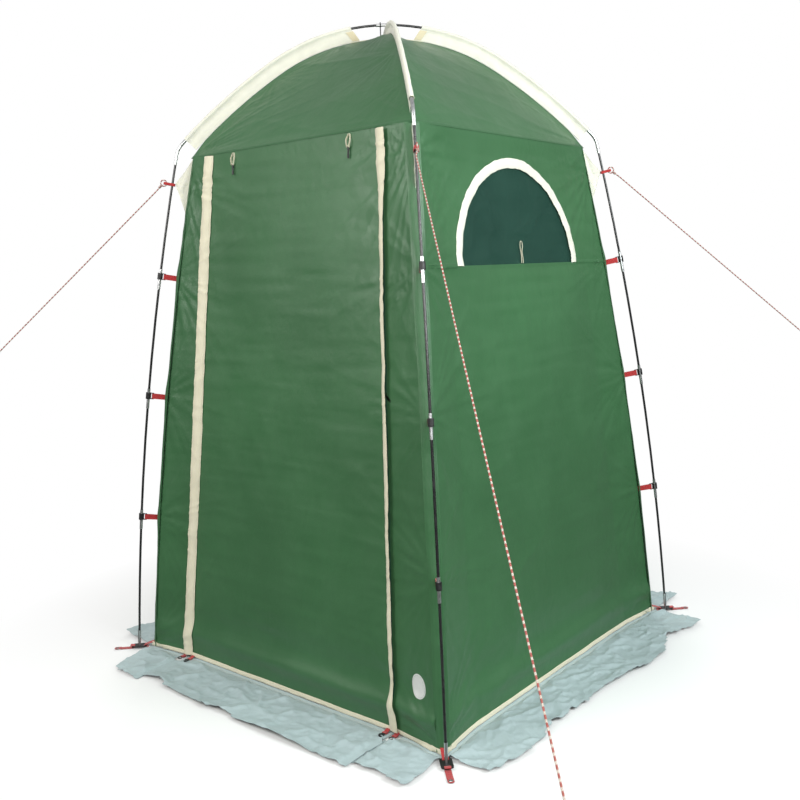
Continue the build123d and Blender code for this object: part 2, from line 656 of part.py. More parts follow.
RING_R, RING_BAND, RING_T = 12.5, 4.5, 4.0
RING_Z = 1985.0
RING_SLOT_Z, RING_SLOT_W, RING_SLOT_H = 22.0, 14.0, 5.0
HANG_GAP = RING_T + 2.0


def hang_strap():
    """Webbing under the peak, inside, that carries the shower ring."""
    top = RIDGE_Z - SHEET - HANG_GAP / 2 - WEB_T - 0.6
    low = RING_Z + RING_SLOT_Z + HANG_GAP / 2 + 0.9
    loop = Rot(0, 90, 0) * band_loop(top - low, HANG_GAP, RING_SLOT_W - 2, WEB_T)
    return Pos(0, 0, (top + low) / 2) * loop


def hang_ring():
    """Plastic ring for a shower head or lamp, with a slot above it for the webbing."""
    outline = Circle(RING_R + RING_BAND) + Pos(0, RING_SLOT_Z - 3) * Rectangle(RING_SLOT_W + 8, 18)
    slot = Pos(0, RING_SLOT_Z) * Rectangle(RING_SLOT_W, RING_SLOT_H)
    return Pos(0, 0, RING_Z) * extrude(Plane.XZ * (outline - Circle(RING_R) - slot), RING_T / 2, both=True)


# ---- assembly ------------------------------------------------------------------------------------
def build():
    """Every named node as a list of solids."""
    def zip_line(z):
        return at(DOOR_HALF, z)

    def seam(z):
        return fabric_half(z) - SEAM_GAP

    wall_hem = hem_tape(lambda z: [-seam(z), -zip_line(z), zip_line(z), seam(z)])
    strip_hem = hem_tape(lambda z: [zip_line(z) + 2, seam(z)])
    door_hem = hem_tape(lambda z: [-zip_line(z) + 2, zip_line(z) - 2])
    edge = DOOR_HALF[0]
    front_skirt = skirt(edge + RING_CUT, SKIRT_END, CORNER_HALF[0])
    side_skirt = skirt(-SKIRT_END, SKIRT_END, CORNER_HALF[0])
    wall, strip, flap, gore = full_wall(), front_strip(), zip_flap(), roof_gore()
    door_tape, wall_tape = zip_tape(-1), zip_tape(1)

    nodes = {
        "pole_rods": corner_copies(half_rods),
        "pole_ferrules": corner_copies(half_ferrules) + [peak_ferrule("a"), peak_ferrule("b")],
        "pole_elbows": corner_copies(elbow),
        "pole_end_tips": corner_copies(end_tip),
        "shock_cords": [shock_cord("a"), shock_cord("b")],
        "pole_clips": corner_copies(clips),
        "clip_straps": corner_copies(clip_straps),
        "foot_plates": corner_copies(foot_plate),
        "foot_straps": corner_copies(foot_strap),
        "peg_tabs": corner_copies(peg_tab),
        "peg_eyelets": corner_copies(peg_eyelet),
        "guy_gussets": corner_copies(guy_gusset),
        "guy_loops": corner_copies(guy_loop),
        "guylines": corner_copies(guyline),
        "roof_panels": [turn(gore, quarter) for quarter in (0, 90, 180, 270)],
        "pole_sleeves": sleeve_a() + sleeve_b(),
        "peak_hook": [peak_hook()],
        "hang_strap": [hang_strap()],
        "shower_ring": [hang_ring()],
        "wall_front_strips": [strip, mirrored(strip)],
        "wall_window_side": [turn(wall - window_cut(), 90)],
        "wall_back": [turn(wall, 180)],
        "wall_left": [turn(wall, 270)],
        "wall_zip_tapes": [wall_tape, mirrored(wall_tape)],
        "door_panel": [door_panel()],
        "door_zip_tapes": [door_tape, mirrored(door_tape)],
        "door_flaps": [flap, mirrored(flap)],
        "door_hem_tape": [door_hem],
        "door_hook_tabs": [closure_tab(HOOK_X), closure_tab(-HOOK_X)],
        "door_hook_right": [closure_hook()],
        "door_hook_left": [mirrored(closure_hook())],
        "wall_ring_tabs": [closure_tab(RING_X), closure_tab(-RING_X)],
        "wall_ring_right": [closure_ring()],
        "wall_ring_left": [mirrored(closure_ring())],
        "zip_slider_right": [zip_slider(SLIDER_RIGHT_Z, RIGHT_PULL_ANGLE)],
        "zip_slider_left": [mirrored(zip_slider(SLIDER_LEFT_Z, 0))],
        "toggle_loops": [toggle_loop(TOGGLE_X), toggle_loop(-TOGGLE_X)],
        "door_toggle_right": [toggle(TOGGLE_X)],
        "door_toggle_left": [toggle(-TOGGLE_X)],
        "hem_tapes": [turn(wall_hem, q) for q in (90, 180, 270)] + [strip_hem, mirrored(strip_hem)],
        "skirt_window_side": [turn(side_skirt, 90)],
        "skirt_back": [turn(side_skirt, 180)],
        "skirt_left": [turn(side_skirt, 270)],
        "skirt_front_right": [front_skirt],
        "skirt_front_left": [mirrored(front_skirt)],
        "skirt_door": [skirt(-edge + DOOR_SKIRT_CUT, edge - DOOR_SKIRT_CUT, CENTRE_HALF[0])],
        "window_mesh": [turn(window_sheet(arch(OPENING_R - 0.5), -1.7, -0.5), 90)],
        "window_binding": [turn(window_sheet(arch(WINDOW_R) - arch(OPENING_R - 2), 0.6, 2.2), 90)],
        "window_flap": [turn(window_sheet(arch(OPENING_R + 8), -8.0, -6.4), 90)],
        "window_zip_tape": [turn(window_sheet(arch(OPENING_R + 20) - arch(OPENING_R + 9), -8.0, -6.4), 90)],
        "window_zip_slider": [turn(window_slider(), 90)],
        "window_loop": [turn(window_loop(), 90)],
    }
    for name, (azimuth, pole, _, _) in CORNERS.items():
        nodes[f"tensioner_{name}"] = [turn(tensioner(pole, name), azimuth)]
        nodes[f"peg_{name}"] = [turn(peg(pole, name), azimuth)]
    return nodes


os.makedirs("parts", exist_ok=True)
for node, pieces in build().items():
    solids = [solid for piece in pieces for solid in piece.solids()]
    export_step(Compound(children=solids) if len(solids) > 1 else solids[0], f"parts/{node}.step")
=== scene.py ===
"""Looks of a privacy shower tent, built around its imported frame.

Metres. The door faces -Y, the window +X, and the origin is on the ground under the peak.
Walls are shaped on the front wall, as x along it and z up, and then turned about Z.
"""

import bpy
import numpy as np
from math import asin, atan2, cos, hypot, pi, radians, sin, sqrt
from mathutils import Matrix, Vector


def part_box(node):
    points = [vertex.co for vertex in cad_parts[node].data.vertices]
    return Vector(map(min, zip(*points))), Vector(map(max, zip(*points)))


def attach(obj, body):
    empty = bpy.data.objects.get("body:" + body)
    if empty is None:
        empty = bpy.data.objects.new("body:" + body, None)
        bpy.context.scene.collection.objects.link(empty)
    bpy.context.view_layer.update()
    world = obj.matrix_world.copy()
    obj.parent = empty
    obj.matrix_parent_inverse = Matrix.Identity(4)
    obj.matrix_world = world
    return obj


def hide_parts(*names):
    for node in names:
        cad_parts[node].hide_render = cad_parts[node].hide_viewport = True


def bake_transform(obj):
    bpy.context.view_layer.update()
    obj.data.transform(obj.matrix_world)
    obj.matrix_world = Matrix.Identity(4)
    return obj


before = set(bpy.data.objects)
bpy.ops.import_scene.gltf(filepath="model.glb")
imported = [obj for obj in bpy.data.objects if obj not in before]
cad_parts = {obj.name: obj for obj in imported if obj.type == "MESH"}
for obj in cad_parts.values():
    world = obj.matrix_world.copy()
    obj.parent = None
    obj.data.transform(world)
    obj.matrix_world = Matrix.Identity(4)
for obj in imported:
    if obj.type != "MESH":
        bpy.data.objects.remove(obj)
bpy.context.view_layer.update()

# ---- driving dimensions ----
WALL_Z0, WALL_Z1 = 0.008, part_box("wall_back")[1].z
CORNER_HALF, CORNER_BOW = (0.653, 0.478), 0.019    # corner seams at the hem and the shoulder
MIDDLE_HALF = (0.630, 0.478)                       # the flat middle of a wall
ZIP_HALF = (0.460, 0.365)                          # zip lines at the hem and the shoulder
ZIP_GAP = 0.005
CORNER_CUT = 0.026                                 # walls stop this short of the corner; a band rounds it
CROWN_R, CROWN_ANGLE = 0.700, radians(33.0)        # roof arches bend most over the peak
PEAK_Z, ELBOW_Z, ELBOW_R = 2.105, 1.720, 0.503 * sqrt(2)
FOOT_R = 0.682 * sqrt(2)
LEG_BOW = 0.035
POLE_DROP = 0.014                                  # the sleeved pole passes under the other one
RIDGE_DROP = 0.045
CLIP_Z = (0.477, 0.900, 1.304)
GUY_Z = 1.605
SLEEVE_STOP = 0.120                                # the upper pole is bare this far from the crossing
WINDOW_Z, WINDOW_SILL, WINDOW_R, BINDING_W = 1.285, 0.015, 0.340, 0.032
OPENING_R = WINDOW_R - BINDING_W
LEAN_RISE = 0.996                                  # a metre up the leaning wall rises this much
CLOTH_T, THREAD_W, THREAD_H = 0.0007, 0.0007, 0.0005
CELL = 0.008
QUARTERS = {"front": 0, "window": 1, "back": 2, "left": 3}
CORNERS = {"front_right": -45.0, "back_right": 45.0, "back_left": 135.0, "front_left": 225.0}


# ---- small maths ----
ALONG, ACROSS, UP = np.eye(3)
TABLE = np.random.default_rng(11).random((64, 64)) * 2 - 1


def together(*values):
    """The values as arrays of one shape."""
    return np.broadcast_arrays(*(np.asarray(value, float) for value in values))


def ease(t):
    """Smooth step from 0 to 1."""
    t = np.clip(t, 0, 1)
    return t * t * (3 - 2 * t)


def noise(x, y, seed):
    """Smooth value noise from -1 to 1."""
    x, y = np.broadcast_arrays(np.asarray(x, float) + seed * 5.37, np.asarray(y, float) + seed * 9.71)
    ix, iy = np.floor(x).astype(int), np.floor(y).astype(int)
    fx, fy = ease(x - ix), ease(y - iy)
    low = TABLE[ix % 64, iy % 64] * (1 - fx) + TABLE[(ix + 1) % 64, iy % 64] * fx
    high = TABLE[ix % 64, (iy + 1) % 64] * (1 - fx) + TABLE[(ix + 1) % 64, (iy + 1) % 64] * fx
    return low * (1 - fy) + high * fy


def creases(x, y, seed):
    """Noise with narrow ridges, from about 0 to 1."""
    return (1 - np.abs(noise(x, y, seed))) ** 3


def rays(x, z, at, reach, height, seed, count=7.0):
    """Tension wrinkles that spread from a point, dying away over reach."""
    dx, dz = x - at[0], z - at[1]
    r, a = np.hypot(dx, dz), np.arctan2(dz, dx)
    ridge = creases(a * count, r * 2.5, seed) - 0.35
    return height * ridge * np.exp(-((r / reach) ** 1.2)) * ease(r / 0.05)


def lerp(pair, t):
    return pair[0] + (pair[1] - pair[0]) * t


def turned(points, azimuth):
    """Points turned about Z by an angle in degrees."""
    a = radians(azimuth)
    spin = np.array([[cos(a), -sin(a), 0], [sin(a), cos(a), 0], [0, 0, 1]])
    return np.asarray(points, float) @ spin.T


def unit(v):
    v = np.asarray(v, float)
    return v / np.maximum(np.linalg.norm(v, axis=-1, keepdims=True), 1e-12)


def distances(path):
    """How far along a path each of its points lies."""
    return np.concatenate([[0], np.cumsum(np.linalg.norm(np.diff(path, axis=0), axis=1))])


def resampled(path, run, at):
    """The path's values at other distances along it."""
    return np.stack([np.interp(at, run, path[:, i]) for i in range(path.shape[1])], 1)


# ---- mesh building ----
class Piece:
    """Gathers the parts of one mesh: cloth sheets, tubes and stitches, each with a material number."""

    def __init__(self, name):
        self.name, self.count = name, 0
        self.points, self.faces, self.materials, self.uvs = [], [], [], []

    def add(self, points, faces, material=0, uv=None):
        points = np.asarray(points, float).reshape(-1, 3)
        faces = np.asarray(faces) + self.count
        self.points.append(points)
        self.faces += faces.tolist()
        self.materials += [material] * len(faces)
        self.uvs.append(np.zeros((len(points), 2)) if uv is None else np.asarray(uv, float).reshape(-1, 2))
        self.count += len(points)

    def sheet(self, grid, thick=CLOTH_T, uv=None, keep=None):
        """Cloth of real thickness from a grid of points; its outside is columns x rows."""
        grid = np.asarray(grid, float)
        rows, cols = grid.shape[:2]
        out = unit(np.cross(np.gradient(grid, axis=1), np.gradient(grid, axis=0)))
        keep = np.ones((rows - 1, cols - 1), bool) if keep is None else keep
        index = np.arange(rows * cols).reshape(rows, cols)
        corners = [index[:-1, :-1], index[:-1, 1:], index[1:, 1:], index[1:, :-1]]
        front = np.stack([c[keep] for c in corners], 1)
        back = front[:, ::-1] + rows * cols
        padded = np.zeros((rows + 1, cols + 1), bool)
        padded[1:-1, 1:-1] = keep
        beside = (padded[:-2, 1:-1], padded[1:-1, 2:], padded[2:, 1:-1], padded[1:-1, :-2])
        rim = []
        for side, neighbour in enumerate(beside):
            edge = keep & ~neighbour
            a, b = corners[side][edge], corners[(side + 1) % 4][edge]
            rim.append(np.stack([b, a, a + rows * cols, b + rows * cols], 1))
        if uv is None:
            along = np.cumsum(np.linalg.norm(np.diff(grid, axis=1, prepend=grid[:, :1]), axis=2), axis=1)
            up = np.cumsum(np.linalg.norm(np.diff(grid, axis=0, prepend=grid[:1]), axis=2), axis=0)
            uv = np.stack([along, up], 2)
        points = np.concatenate([grid.reshape(-1, 3), (grid - out * thick).reshape(-1, 3)])
        self.add(points, np.concatenate([front, back] + rim), uv=np.tile(uv.reshape(-1, 2), (2, 1)))

    def tube(self, path, radius, sides, closed=False, twist=0.0, lobes=0, flat=1.0):
        """Round cord along a path, or one with twisted lobes; u runs round it and v along it in metres."""
        path = np.asarray(path, float)
        count = len(path)
        step = np.roll(path, -1, 0) - np.roll(path, 1, 0) if closed else np.gradient(path, axis=0)
        along = unit(step)
        guide = UP if abs(along[:, 2]).max() < 0.95 else unit(np.array([0.3, 1.0, 0.2]))
        side = unit(np.cross(along, guide))
        up = np.cross(side, along)
        length = distances(path)
        a = np.arange(sides) * 2 * pi / sides
        radius = np.broadcast_to(radius, (count,))
        bump = 1 + (0.09 * np.cos(lobes * (a[None, :] + twist * length[:, None])) if lobes else 0)
        ring = radius[:, None] * bump
        grid = (path[:, None] + (ring * np.cos(a))[..., None] * side[:, None]
                + (ring * np.sin(a) * flat)[..., None] * up[:, None])
        index = np.arange(count * sides).reshape(count, sides)
        if closed:
            rows, nexts = index, np.roll(index, -1, 0)
        else:
            rows, nexts = index[:-1], index[1:]
        quads = np.stack([rows, nexts, np.roll(nexts, -1, 1), np.roll(rows, -1, 1)], 2).reshape(-1, 4)
        uv = np.stack(np.broadcast_arrays(np.arange(sides)[None, :] / sides, length[:, None]), 2)
        self.add(grid, quads, uv=uv)
        if not closed:
            base = self.count - count * sides
            self.faces += [(index[0] + base).tolist(), (index[-1][::-1] + base).tolist()]
            self.materials += [0, 0]

    def stitches(self, path, out, pitch=0.0045, length=0.003):
        """Row of thread stitches along a path that lies on cloth whose outward direction is out."""
        path = np.asarray(path, float)
        out = np.broadcast_to(np.asarray(out, float), path.shape)
        run = distances(path)
        at = np.arange(pitch / 2, run[-1], pitch)
        if len(at) == 0:
            return
        middle, normal = resampled(path, run, at), unit(resampled(out, run, at))
        along = unit(resampled(path, run, at + 0.001) - resampled(path, run, at - 0.001))
        side = np.cross(normal, along)
        shape = [(-0.5, 0, 0), (-0.25, 0.5, 0), (0.25, 0.5, 0), (0.5, 0, 0),
                 (0.25, -0.5, 0), (-0.25, -0.5, 0), (-0.2, 0, 1), (0.2, 0, 1)]
        faces = ((0, 5, 6), (5, 4, 7, 6), (4, 3, 7), (3, 2, 7), (2, 1, 6, 7), (1, 0, 6), (0, 1, 2, 3, 4, 5))
        points = np.stack([middle + along * (a * length) + side * (b * THREAD_W) + normal * (c * THREAD_H)
                           for a, b, c in shape], 1)
        block = np.arange(len(at))[:, None] * len(shape)
        for face in faces:
            self.faces += (block + np.array(face)[None, :] + self.count).tolist()
            self.materials += [1] * len(at)
        self.points.append(points.reshape(-1, 3))
        self.uvs.append(np.zeros((len(points) * len(shape), 2)))
        self.count += len(points) * len(shape)

    def build(self, *materials):
        mesh = bpy.data.meshes.new(self.name)
        mesh.from_pydata(np.concatenate(self.points).tolist(), [], self.faces)
        loops = np.zeros(len(mesh.loops), np.int32)
        mesh.loops.foreach_get("vertex_index", loops)
        layer = mesh.uv_layers.new(name="cloth")
        layer.data.foreach_set("uv", np.concatenate(self.uvs)[loops].astype(np.float32).ravel())
        for material in materials:
            mesh.materials.append(material)
        mesh.polygons.foreach_set("material_index", np.array(self.materials, np.int32))
        mesh.polygons.foreach_set("use_smooth", np.ones(len(self.faces), bool))
        mesh.set_sharp_from_angle(angle=radians(50))
        mesh.update()
        made = bpy.data.objects.new(self.name, mesh)
        bpy.context.scene.collection.objects.link(made)
        return made


# ---- materials ----
class Nodes:
    """A node tree with short calls to add and join nodes."""

    def __init__(self, tree):
        self.tree = tree

    def node(self, kind, inputs=None, **settings):
        made = self.tree.nodes.new(kind)
        for key, value in settings.items():
            setattr(made, key, value)
        for key, value in (inputs or {}).items():
            self.put(made.inputs[key], value)
        return made

    def put(self, socket, value):
        if isinstance(value, bpy.types.NodeSocket):
            self.tree.links.new(value, socket)
        else:
            socket.default_value = value

    def math(self, operation, a, b=0.0):
        return self.node("ShaderNodeMath", {0: a, 1: b}, operation=operation).outputs[0]

    def place(self, scale, source):
        where = self.node("ShaderNodeTexCoord").outputs[source]
        return self.node("ShaderNodeMapping", {"Vector": where, "Scale": scale}).outputs[0]

    def noise(self, scale, detail=3.0, source="Object", stretch=(1, 1, 1), distortion=0.0):
        inputs = {"Vector": self.place(stretch, source), "Scale": scale, "Detail": detail,
                  "Distortion": distortion}
        return self.node("ShaderNodeTexNoise", inputs).outputs["Fac"]

    def mix(self, factor, a, b):
        made = self.node("ShaderNodeMix", data_type="RGBA")
        self.put(made.inputs[0], factor)
        self.put(made.inputs[6], a)
        self.put(made.inputs[7], b)
        return made.outputs[2]

    def uv(self):
        """The piece's own metres: across its threads, then along them."""
        return self.node("ShaderNodeSeparateXYZ", {0: self.place((1, 1, 1), "UV")}).outputs

    def wave(self, value, period):
        return self.math("SINE", self.math("MULTIPLY", value, 2 * pi / period))

    def remap(self, value, low, high, to_low=0.0, to_high=1.0):
        inputs = {"Value": value, "From Min": low, "From Max": high, "To Min": to_low, "To Max": to_high}
        return self.node("ShaderNodeMapRange", inputs).outputs[0]

    def bump(self, height, strength, distance, under=None):
        inputs = {"Height": height, "Strength": strength, "Distance": distance}
        if under is not None:
            inputs["Normal"] = under
        return self.node("ShaderNodeBump", inputs).outputs["Normal"]


class Material(Nodes):
    def __init__(self, name):
        self.material = bpy.data.materials.new(name)
        self.material.use_nodes = True
        super().__init__(self.material.node_tree)
        self.shader = self.tree.nodes["Principled BSDF"]

    def set(self, **values):
        for key, value in values.items():
            self.put(self.shader.inputs[key.replace("_", " ")], value)


def weave(m, pitch):
    """Plain weave from the piece's own metres: threads over and under in both directions."""
    where = m.uv()
    return m.math("MULTIPLY", m.wave(where[0], pitch), m.wave(where[1], pitch))


def scaled(colour, value):
    return tuple(min(1.0, c * value) for c in colour)


def cloth(name, colour, shade=0.82, roughness=0.5, sheen=0.25, gloss=0.45, crinkle=0.5,
          pitch=0.0006, glow=0.0):
    """Coated cloth: woven threads with painted highlight on their raised tops, fine crinkles, soft sheen and
    slightly uneven colour.
    """
    m = Material(name)
    broad = m.noise(2.2, 4.0)
    fine = m.noise(38.0, 5.0, stretch=(1, 1, 0.5))
    surface_colour = m.mix(m.remap(broad, 0.35, 0.65), (*scaled(colour, shade), 1), (*colour, 1))
    surface_colour = m.mix(m.remap(fine, 0.3, 0.8, 0.0, 0.35), surface_colour, (*scaled(colour, 0.72), 1))
    threads = weave(m, pitch)
    # painted highlight: the weave's raised threads coloured lighter, following the bump's pattern
    surface_colour = m.mix(m.remap(threads, -1, 1, 0.0, 0.18), surface_colour, (*scaled(colour, 1.35), 1))
    coat = m.remap(m.noise(9.0, 3.0), 0.3, 0.7, roughness - 0.06, roughness + 0.08)
    folded = m.bump(m.noise(26.0, 5.0, stretch=(1, 1, 0.7), distortion=0.6), crinkle * 0.30, 0.004)
    folded = m.bump(m.noise(110.0, 4.0), crinkle * 0.16, 0.0015, folded)
    m.set(Base_Color=surface_colour, Roughness=coat, Sheen_Weight=sheen, Sheen_Roughness=0.4, Specular_IOR_Level=gloss,
          Normal=m.bump(threads, 0.16, 0.0002, folded))
    if glow:
        m.set(Subsurface_Weight=glow, Subsurface_Radius=(0.02, 0.02, 0.015))
    return m.material


def webbing(name, colour):
    """Heavy narrow weave with ribs along the strap, with painted shade in the weave's hollows."""
    m = Material(name)
    where = m.uv()
    woven = m.math("MULTIPLY", m.wave(where[0], 0.0016), m.wave(where[1], 0.0022))
    # painted shade: the weave's hollows coloured darker and its raised threads lighter, from the bump's
    # pattern
    surface_colour = m.mix(m.remap(woven, -1, 1), (*scaled(colour, 0.55), 1), (*scaled(colour, 1.15), 1))
    surface_colour = m.mix(m.remap(m.noise(60.0, 4.0), 0.4, 0.7, 0, 0.4), surface_colour, (*scaled(colour, 0.6), 1))
    m.set(Base_Color=surface_colour, Roughness=0.72, Sheen_Weight=0.3, Normal=m.bump(woven, 0.5, 0.0004))
    return m.material


def plastic(name, colour, roughness=0.42):
    """Moulded plastic: faint grain, soft scuffs."""
    m = Material(name)
    scuff = m.noise(70.0, 6.0, distortion=0.3)
    surface_colour = m.mix(m.remap(scuff, 0.55, 0.75), (*colour, 1), (*[c + 0.02 for c in colour], 1))
    m.set(Base_Color=surface_colour, Roughness=m.remap(scuff, 0.35, 0.7, roughness - 0.06, roughness + 0.12),
          Normal=m.bump(m.noise(900.0, 2.0), 0.12, 0.0002))
    return m.material


def metal(name, colour, roughness=0.28):
    """Drawn metal: streaks along the draw, light smudges."""
    m = Material(name)
    streak = m.noise(420.0, 3.0, stretch=(1, 1, 0.04))
    smudge = m.noise(24.0, 4.0)
    surface_colour = m.mix(m.remap(smudge, 0.35, 0.7), (*colour, 1), (*scaled(colour, 0.8), 1))
    drawn = m.remap(streak, 0.3, 0.7, roughness - 0.06, roughness + 0.14)
    m.set(Base_Color=surface_colour, Metallic=1.0, Roughness=drawn, Normal=m.bump(streak, 0.08, 0.0002))
    return m.material


def rod_material():
    """Black pultruded rod: glossy resin with faint fibre streaks."""
    m = Material("black_rod")
    fibre = m.noise(500.0, 3.0, stretch=(1, 1, 0.02))
    surface_colour = m.mix(m.remap(fibre, 0.45, 0.7), (0.010, 0.010, 0.011, 1), (0.030, 0.030, 0.032, 1))
    m.set(Base_Color=surface_colour, Roughness=m.remap(m.noise(40.0), 0.3, 0.7, 0.22, 0.36), Coat_Weight=0.4,
          Coat_Roughness=0.15, Normal=m.bump(fibre, 0.15, 0.0002))
    return m.material


def cord_material():
    """Braided guy cord: red jacket with a pale reflective tracer in dashes, and painted shade between the
    strands.
    """
    m = Material("guy_braid")
    where = m.uv()
    dash = m.math("LESS_THAN", m.math("FRACT", m.math("MULTIPLY", where[1], 1 / 0.013)), 0.42)
    strands = m.math("SINE", m.math("ADD", m.math("MULTIPLY", where[1], 2 * pi / 0.0035),
                                    m.math("MULTIPLY", where[0], 4 * pi)))
    # painted shade: both colours darker in the grooves between strands and lighter on their crowns, from the
    # bump's pattern
    red = m.mix(m.remap(strands, -1, 1), (0.26, 0.050, 0.040, 1), (0.44, 0.11, 0.085, 1))
    pale = m.mix(m.remap(strands, -1, 1), (0.44, 0.38, 0.33, 1), (0.68, 0.61, 0.54, 1))
    m.set(Base_Color=m.mix(dash, red, pale), Roughness=0.6, Sheen_Weight=0.2,
          Normal=m.bump(strands, 0.5, 0.0004))
    return m.material


def net_material():
    """Insect mesh: dark threads with tiny openings."""
    m = Material("window_net")
    where = m.uv()
    holes = m.math("MULTIPLY", *(m.math("ABSOLUTE", m.wave(where[i], 0.0028)) for i in (0, 1)))
    open_ = m.math("GREATER_THAN", holes, 0.62)
    surface_colour = m.mix(m.remap(m.noise(3.0, 4.0), 0.3, 0.7), (0.012, 0.050, 0.036, 1), (0.030, 0.095, 0.068, 1))
    m.set(Base_Color=surface_colour, Roughness=0.6, Specular_IOR_Level=0.2, Alpha=m.remap(open_, 0, 1, 0.50, 0.0),
          Normal=m.bump(holes, 0.3, 0.0003))
    return m.material


GREEN = cloth("green_polyester", (0.044, 0.142, 0.056), roughness=0.40, sheen=0.10, crinkle=0.9, gloss=0.5)
GREEN_INNER = cloth("green_window_flap", (0.030, 0.105, 0.078), roughness=0.38, sheen=0.1, crinkle=1.2)
CREAM = cloth("cream_trim", (0.74, 0.70, 0.54), shade=0.92, roughness=0.62, sheen=0.15, gloss=0.3,
              pitch=0.0008, glow=0.1)
WHITE_CREAM = cloth("cream_sleeve", (0.76, 0.75, 0.65), shade=0.94, roughness=0.58, gloss=0.35,
                    pitch=0.0008, crinkle=0.7, glow=0.15)
TAN = cloth("tan_reinforcement", (0.70, 0.62, 0.42), roughness=0.6, crinkle=0.5, pitch=0.0008)
GREY = cloth("grey_skirt", (0.43, 0.535, 0.55), shade=0.86, roughness=0.55, gloss=0.35, crinkle=1.6,
             sheen=0.1)
THREAD_GREEN = plastic("green_thread", (0.030, 0.110, 0.048), 0.7)
THREAD_CREAM = plastic("cream_thread", (0.62, 0.56, 0.42), 0.7)
THREAD_RED = plastic("red_thread", (0.30, 0.015, 0.015), 0.7)
RED = webbing("red_webbing", (0.52, 0.020, 0.022))
BLACK = plastic("black_plastic", (0.012, 0.012, 0.013))
SILVER = metal("bright_ferrule", (0.72, 0.73, 0.74))
ZINC = metal("zinc_wire", (0.60, 0.61, 0.62), 0.38)
ELASTIC = webbing("black_elastic", (0.03, 0.03, 0.03))
ZIP = plastic("zip_coil", (0.035, 0.120, 0.055), 0.5)
ZIP_BLACK = metal("zip_slider_black", (0.06, 0.06, 0.06), 0.35)
ROD = rod_material()
CORD = cord_material()
NET = net_material()
PATCH = cloth("pale_patch", (0.72, 0.74, 0.72), roughness=0.6, crinkle=0.3)

# a slot, then the materials of a piece and of its stitches or teeth
GREEN_SEWN = ("green_cloth", GREEN, THREAD_GREEN)
CREAM_SEWN = ("cream_cloth", CREAM, THREAD_CREAM)
PALE_SEWN = ("cream_cloth", WHITE_CREAM, THREAD_CREAM)
RED_SEWN = ("red_webbing", RED, THREAD_RED)
ZIPPED = ("zip_tape", GREEN_INNER, ZIP)


# ---- pole geometry ----
CHORD = hypot(FOOT_R - ELBOW_R, ELBOW_Z)
LEG_RADIUS = (CHORD**2 / 4 + LEG_BOW**2) / (2 * LEG_BOW)
LEG_CENTRE = ((FOOT_R + ELBOW_R) / 2 - ELBOW_Z / CHORD * (LEG_RADIUS - LEG_BOW),
              ELBOW_Z / 2 - (FOOT_R - ELBOW_R) / CHORD * (LEG_RADIUS - LEG_BOW))


def leg_r(z):
    return LEG_CENTRE[0] + np.sqrt(LEG_RADIUS**2 - (z - LEG_CENTRE[1]) ** 2)


def leg_lean(z):
    return atan2(z - LEG_CENTRE[1], leg_r(z) - LEG_CENTRE[0])


def leg_frame(z):
    """Point on a leg and its outward, across and up directions, in the corner's own frame."""
    lean = leg_lean(z)
    return (np.array([leg_r(z), 0, z]), np.array([cos(lean), 0, sin(lean)]), ACROSS,
            np.array([-sin(lean), 0, cos(lean)]))


class Arch:
    """Half an arch in a corner's own plane: a crown arc over the peak, then a flatter shoulder arc.

    angle() turns a distance from the peak into an angle from straight up, and at() gives its point."""

    def __init__(self, top, crown, end):
        knee = np.array([crown * sin(CROWN_ANGLE), top - crown + crown * cos(CROWN_ANGLE)])
        run, fall = end[0] - knee[0], knee[1] - end[1]
        bend = atan2(fall, run) - CROWN_ANGLE
        shoulder = hypot(run, fall) / (2 * sin(bend))
        self.crown, self.shoulder, self.knee = crown, shoulder, crown * CROWN_ANGLE
        self.centres = ((0.0, top - crown), knee - shoulder * np.array([sin(CROWN_ANGLE), cos(CROWN_ANGLE)]))
        self.end = CROWN_ANGLE + 2 * bend
        self.length = self.knee + shoulder * 2 * bend

    def angle(self, run):
        run = np.asarray(run, float)
        return np.where(run < self.knee, run / self.crown, CROWN_ANGLE + (run - self.knee) / self.shoulder)

    def at(self, angle):
        angle = np.asarray(angle, float)
        past = angle > CROWN_ANGLE
        radius = np.where(past, self.shoulder, self.crown)
        x, z = (np.where(past, self.centres[1][i], self.centres[0][i]) for i in (0, 1))
        return x + radius * np.sin(angle), z + radius * np.cos(angle)


SLEEVED_POLE = Arch(PEAK_Z - POLE_DROP, CROWN_R, (ELBOW_R, ELBOW_Z))
UPPER_POLE = Arch(PEAK_Z, CROWN_R, (ELBOW_R, ELBOW_Z))
RIDGE = Arch(PEAK_Z - RIDGE_DROP, CROWN_R - RIDGE_DROP, (CORNER_HALF[1] * sqrt(2), WALL_Z1))


# ---- cloth surfaces ----
def share(z):
    """How far up a wall a height is, from 0 to 1."""
    return (z - WALL_Z0) / (WALL_Z1 - WALL_Z0)


def corner_half(z):
    """Half a wall's width at a height; its corner seams bow outward."""
    t = share(z)
    return lerp(CORNER_HALF, t) + CORNER_BOW * 4 * t * (1 - t)


def zip_half(z):
    return lerp(ZIP_HALF, share(z))


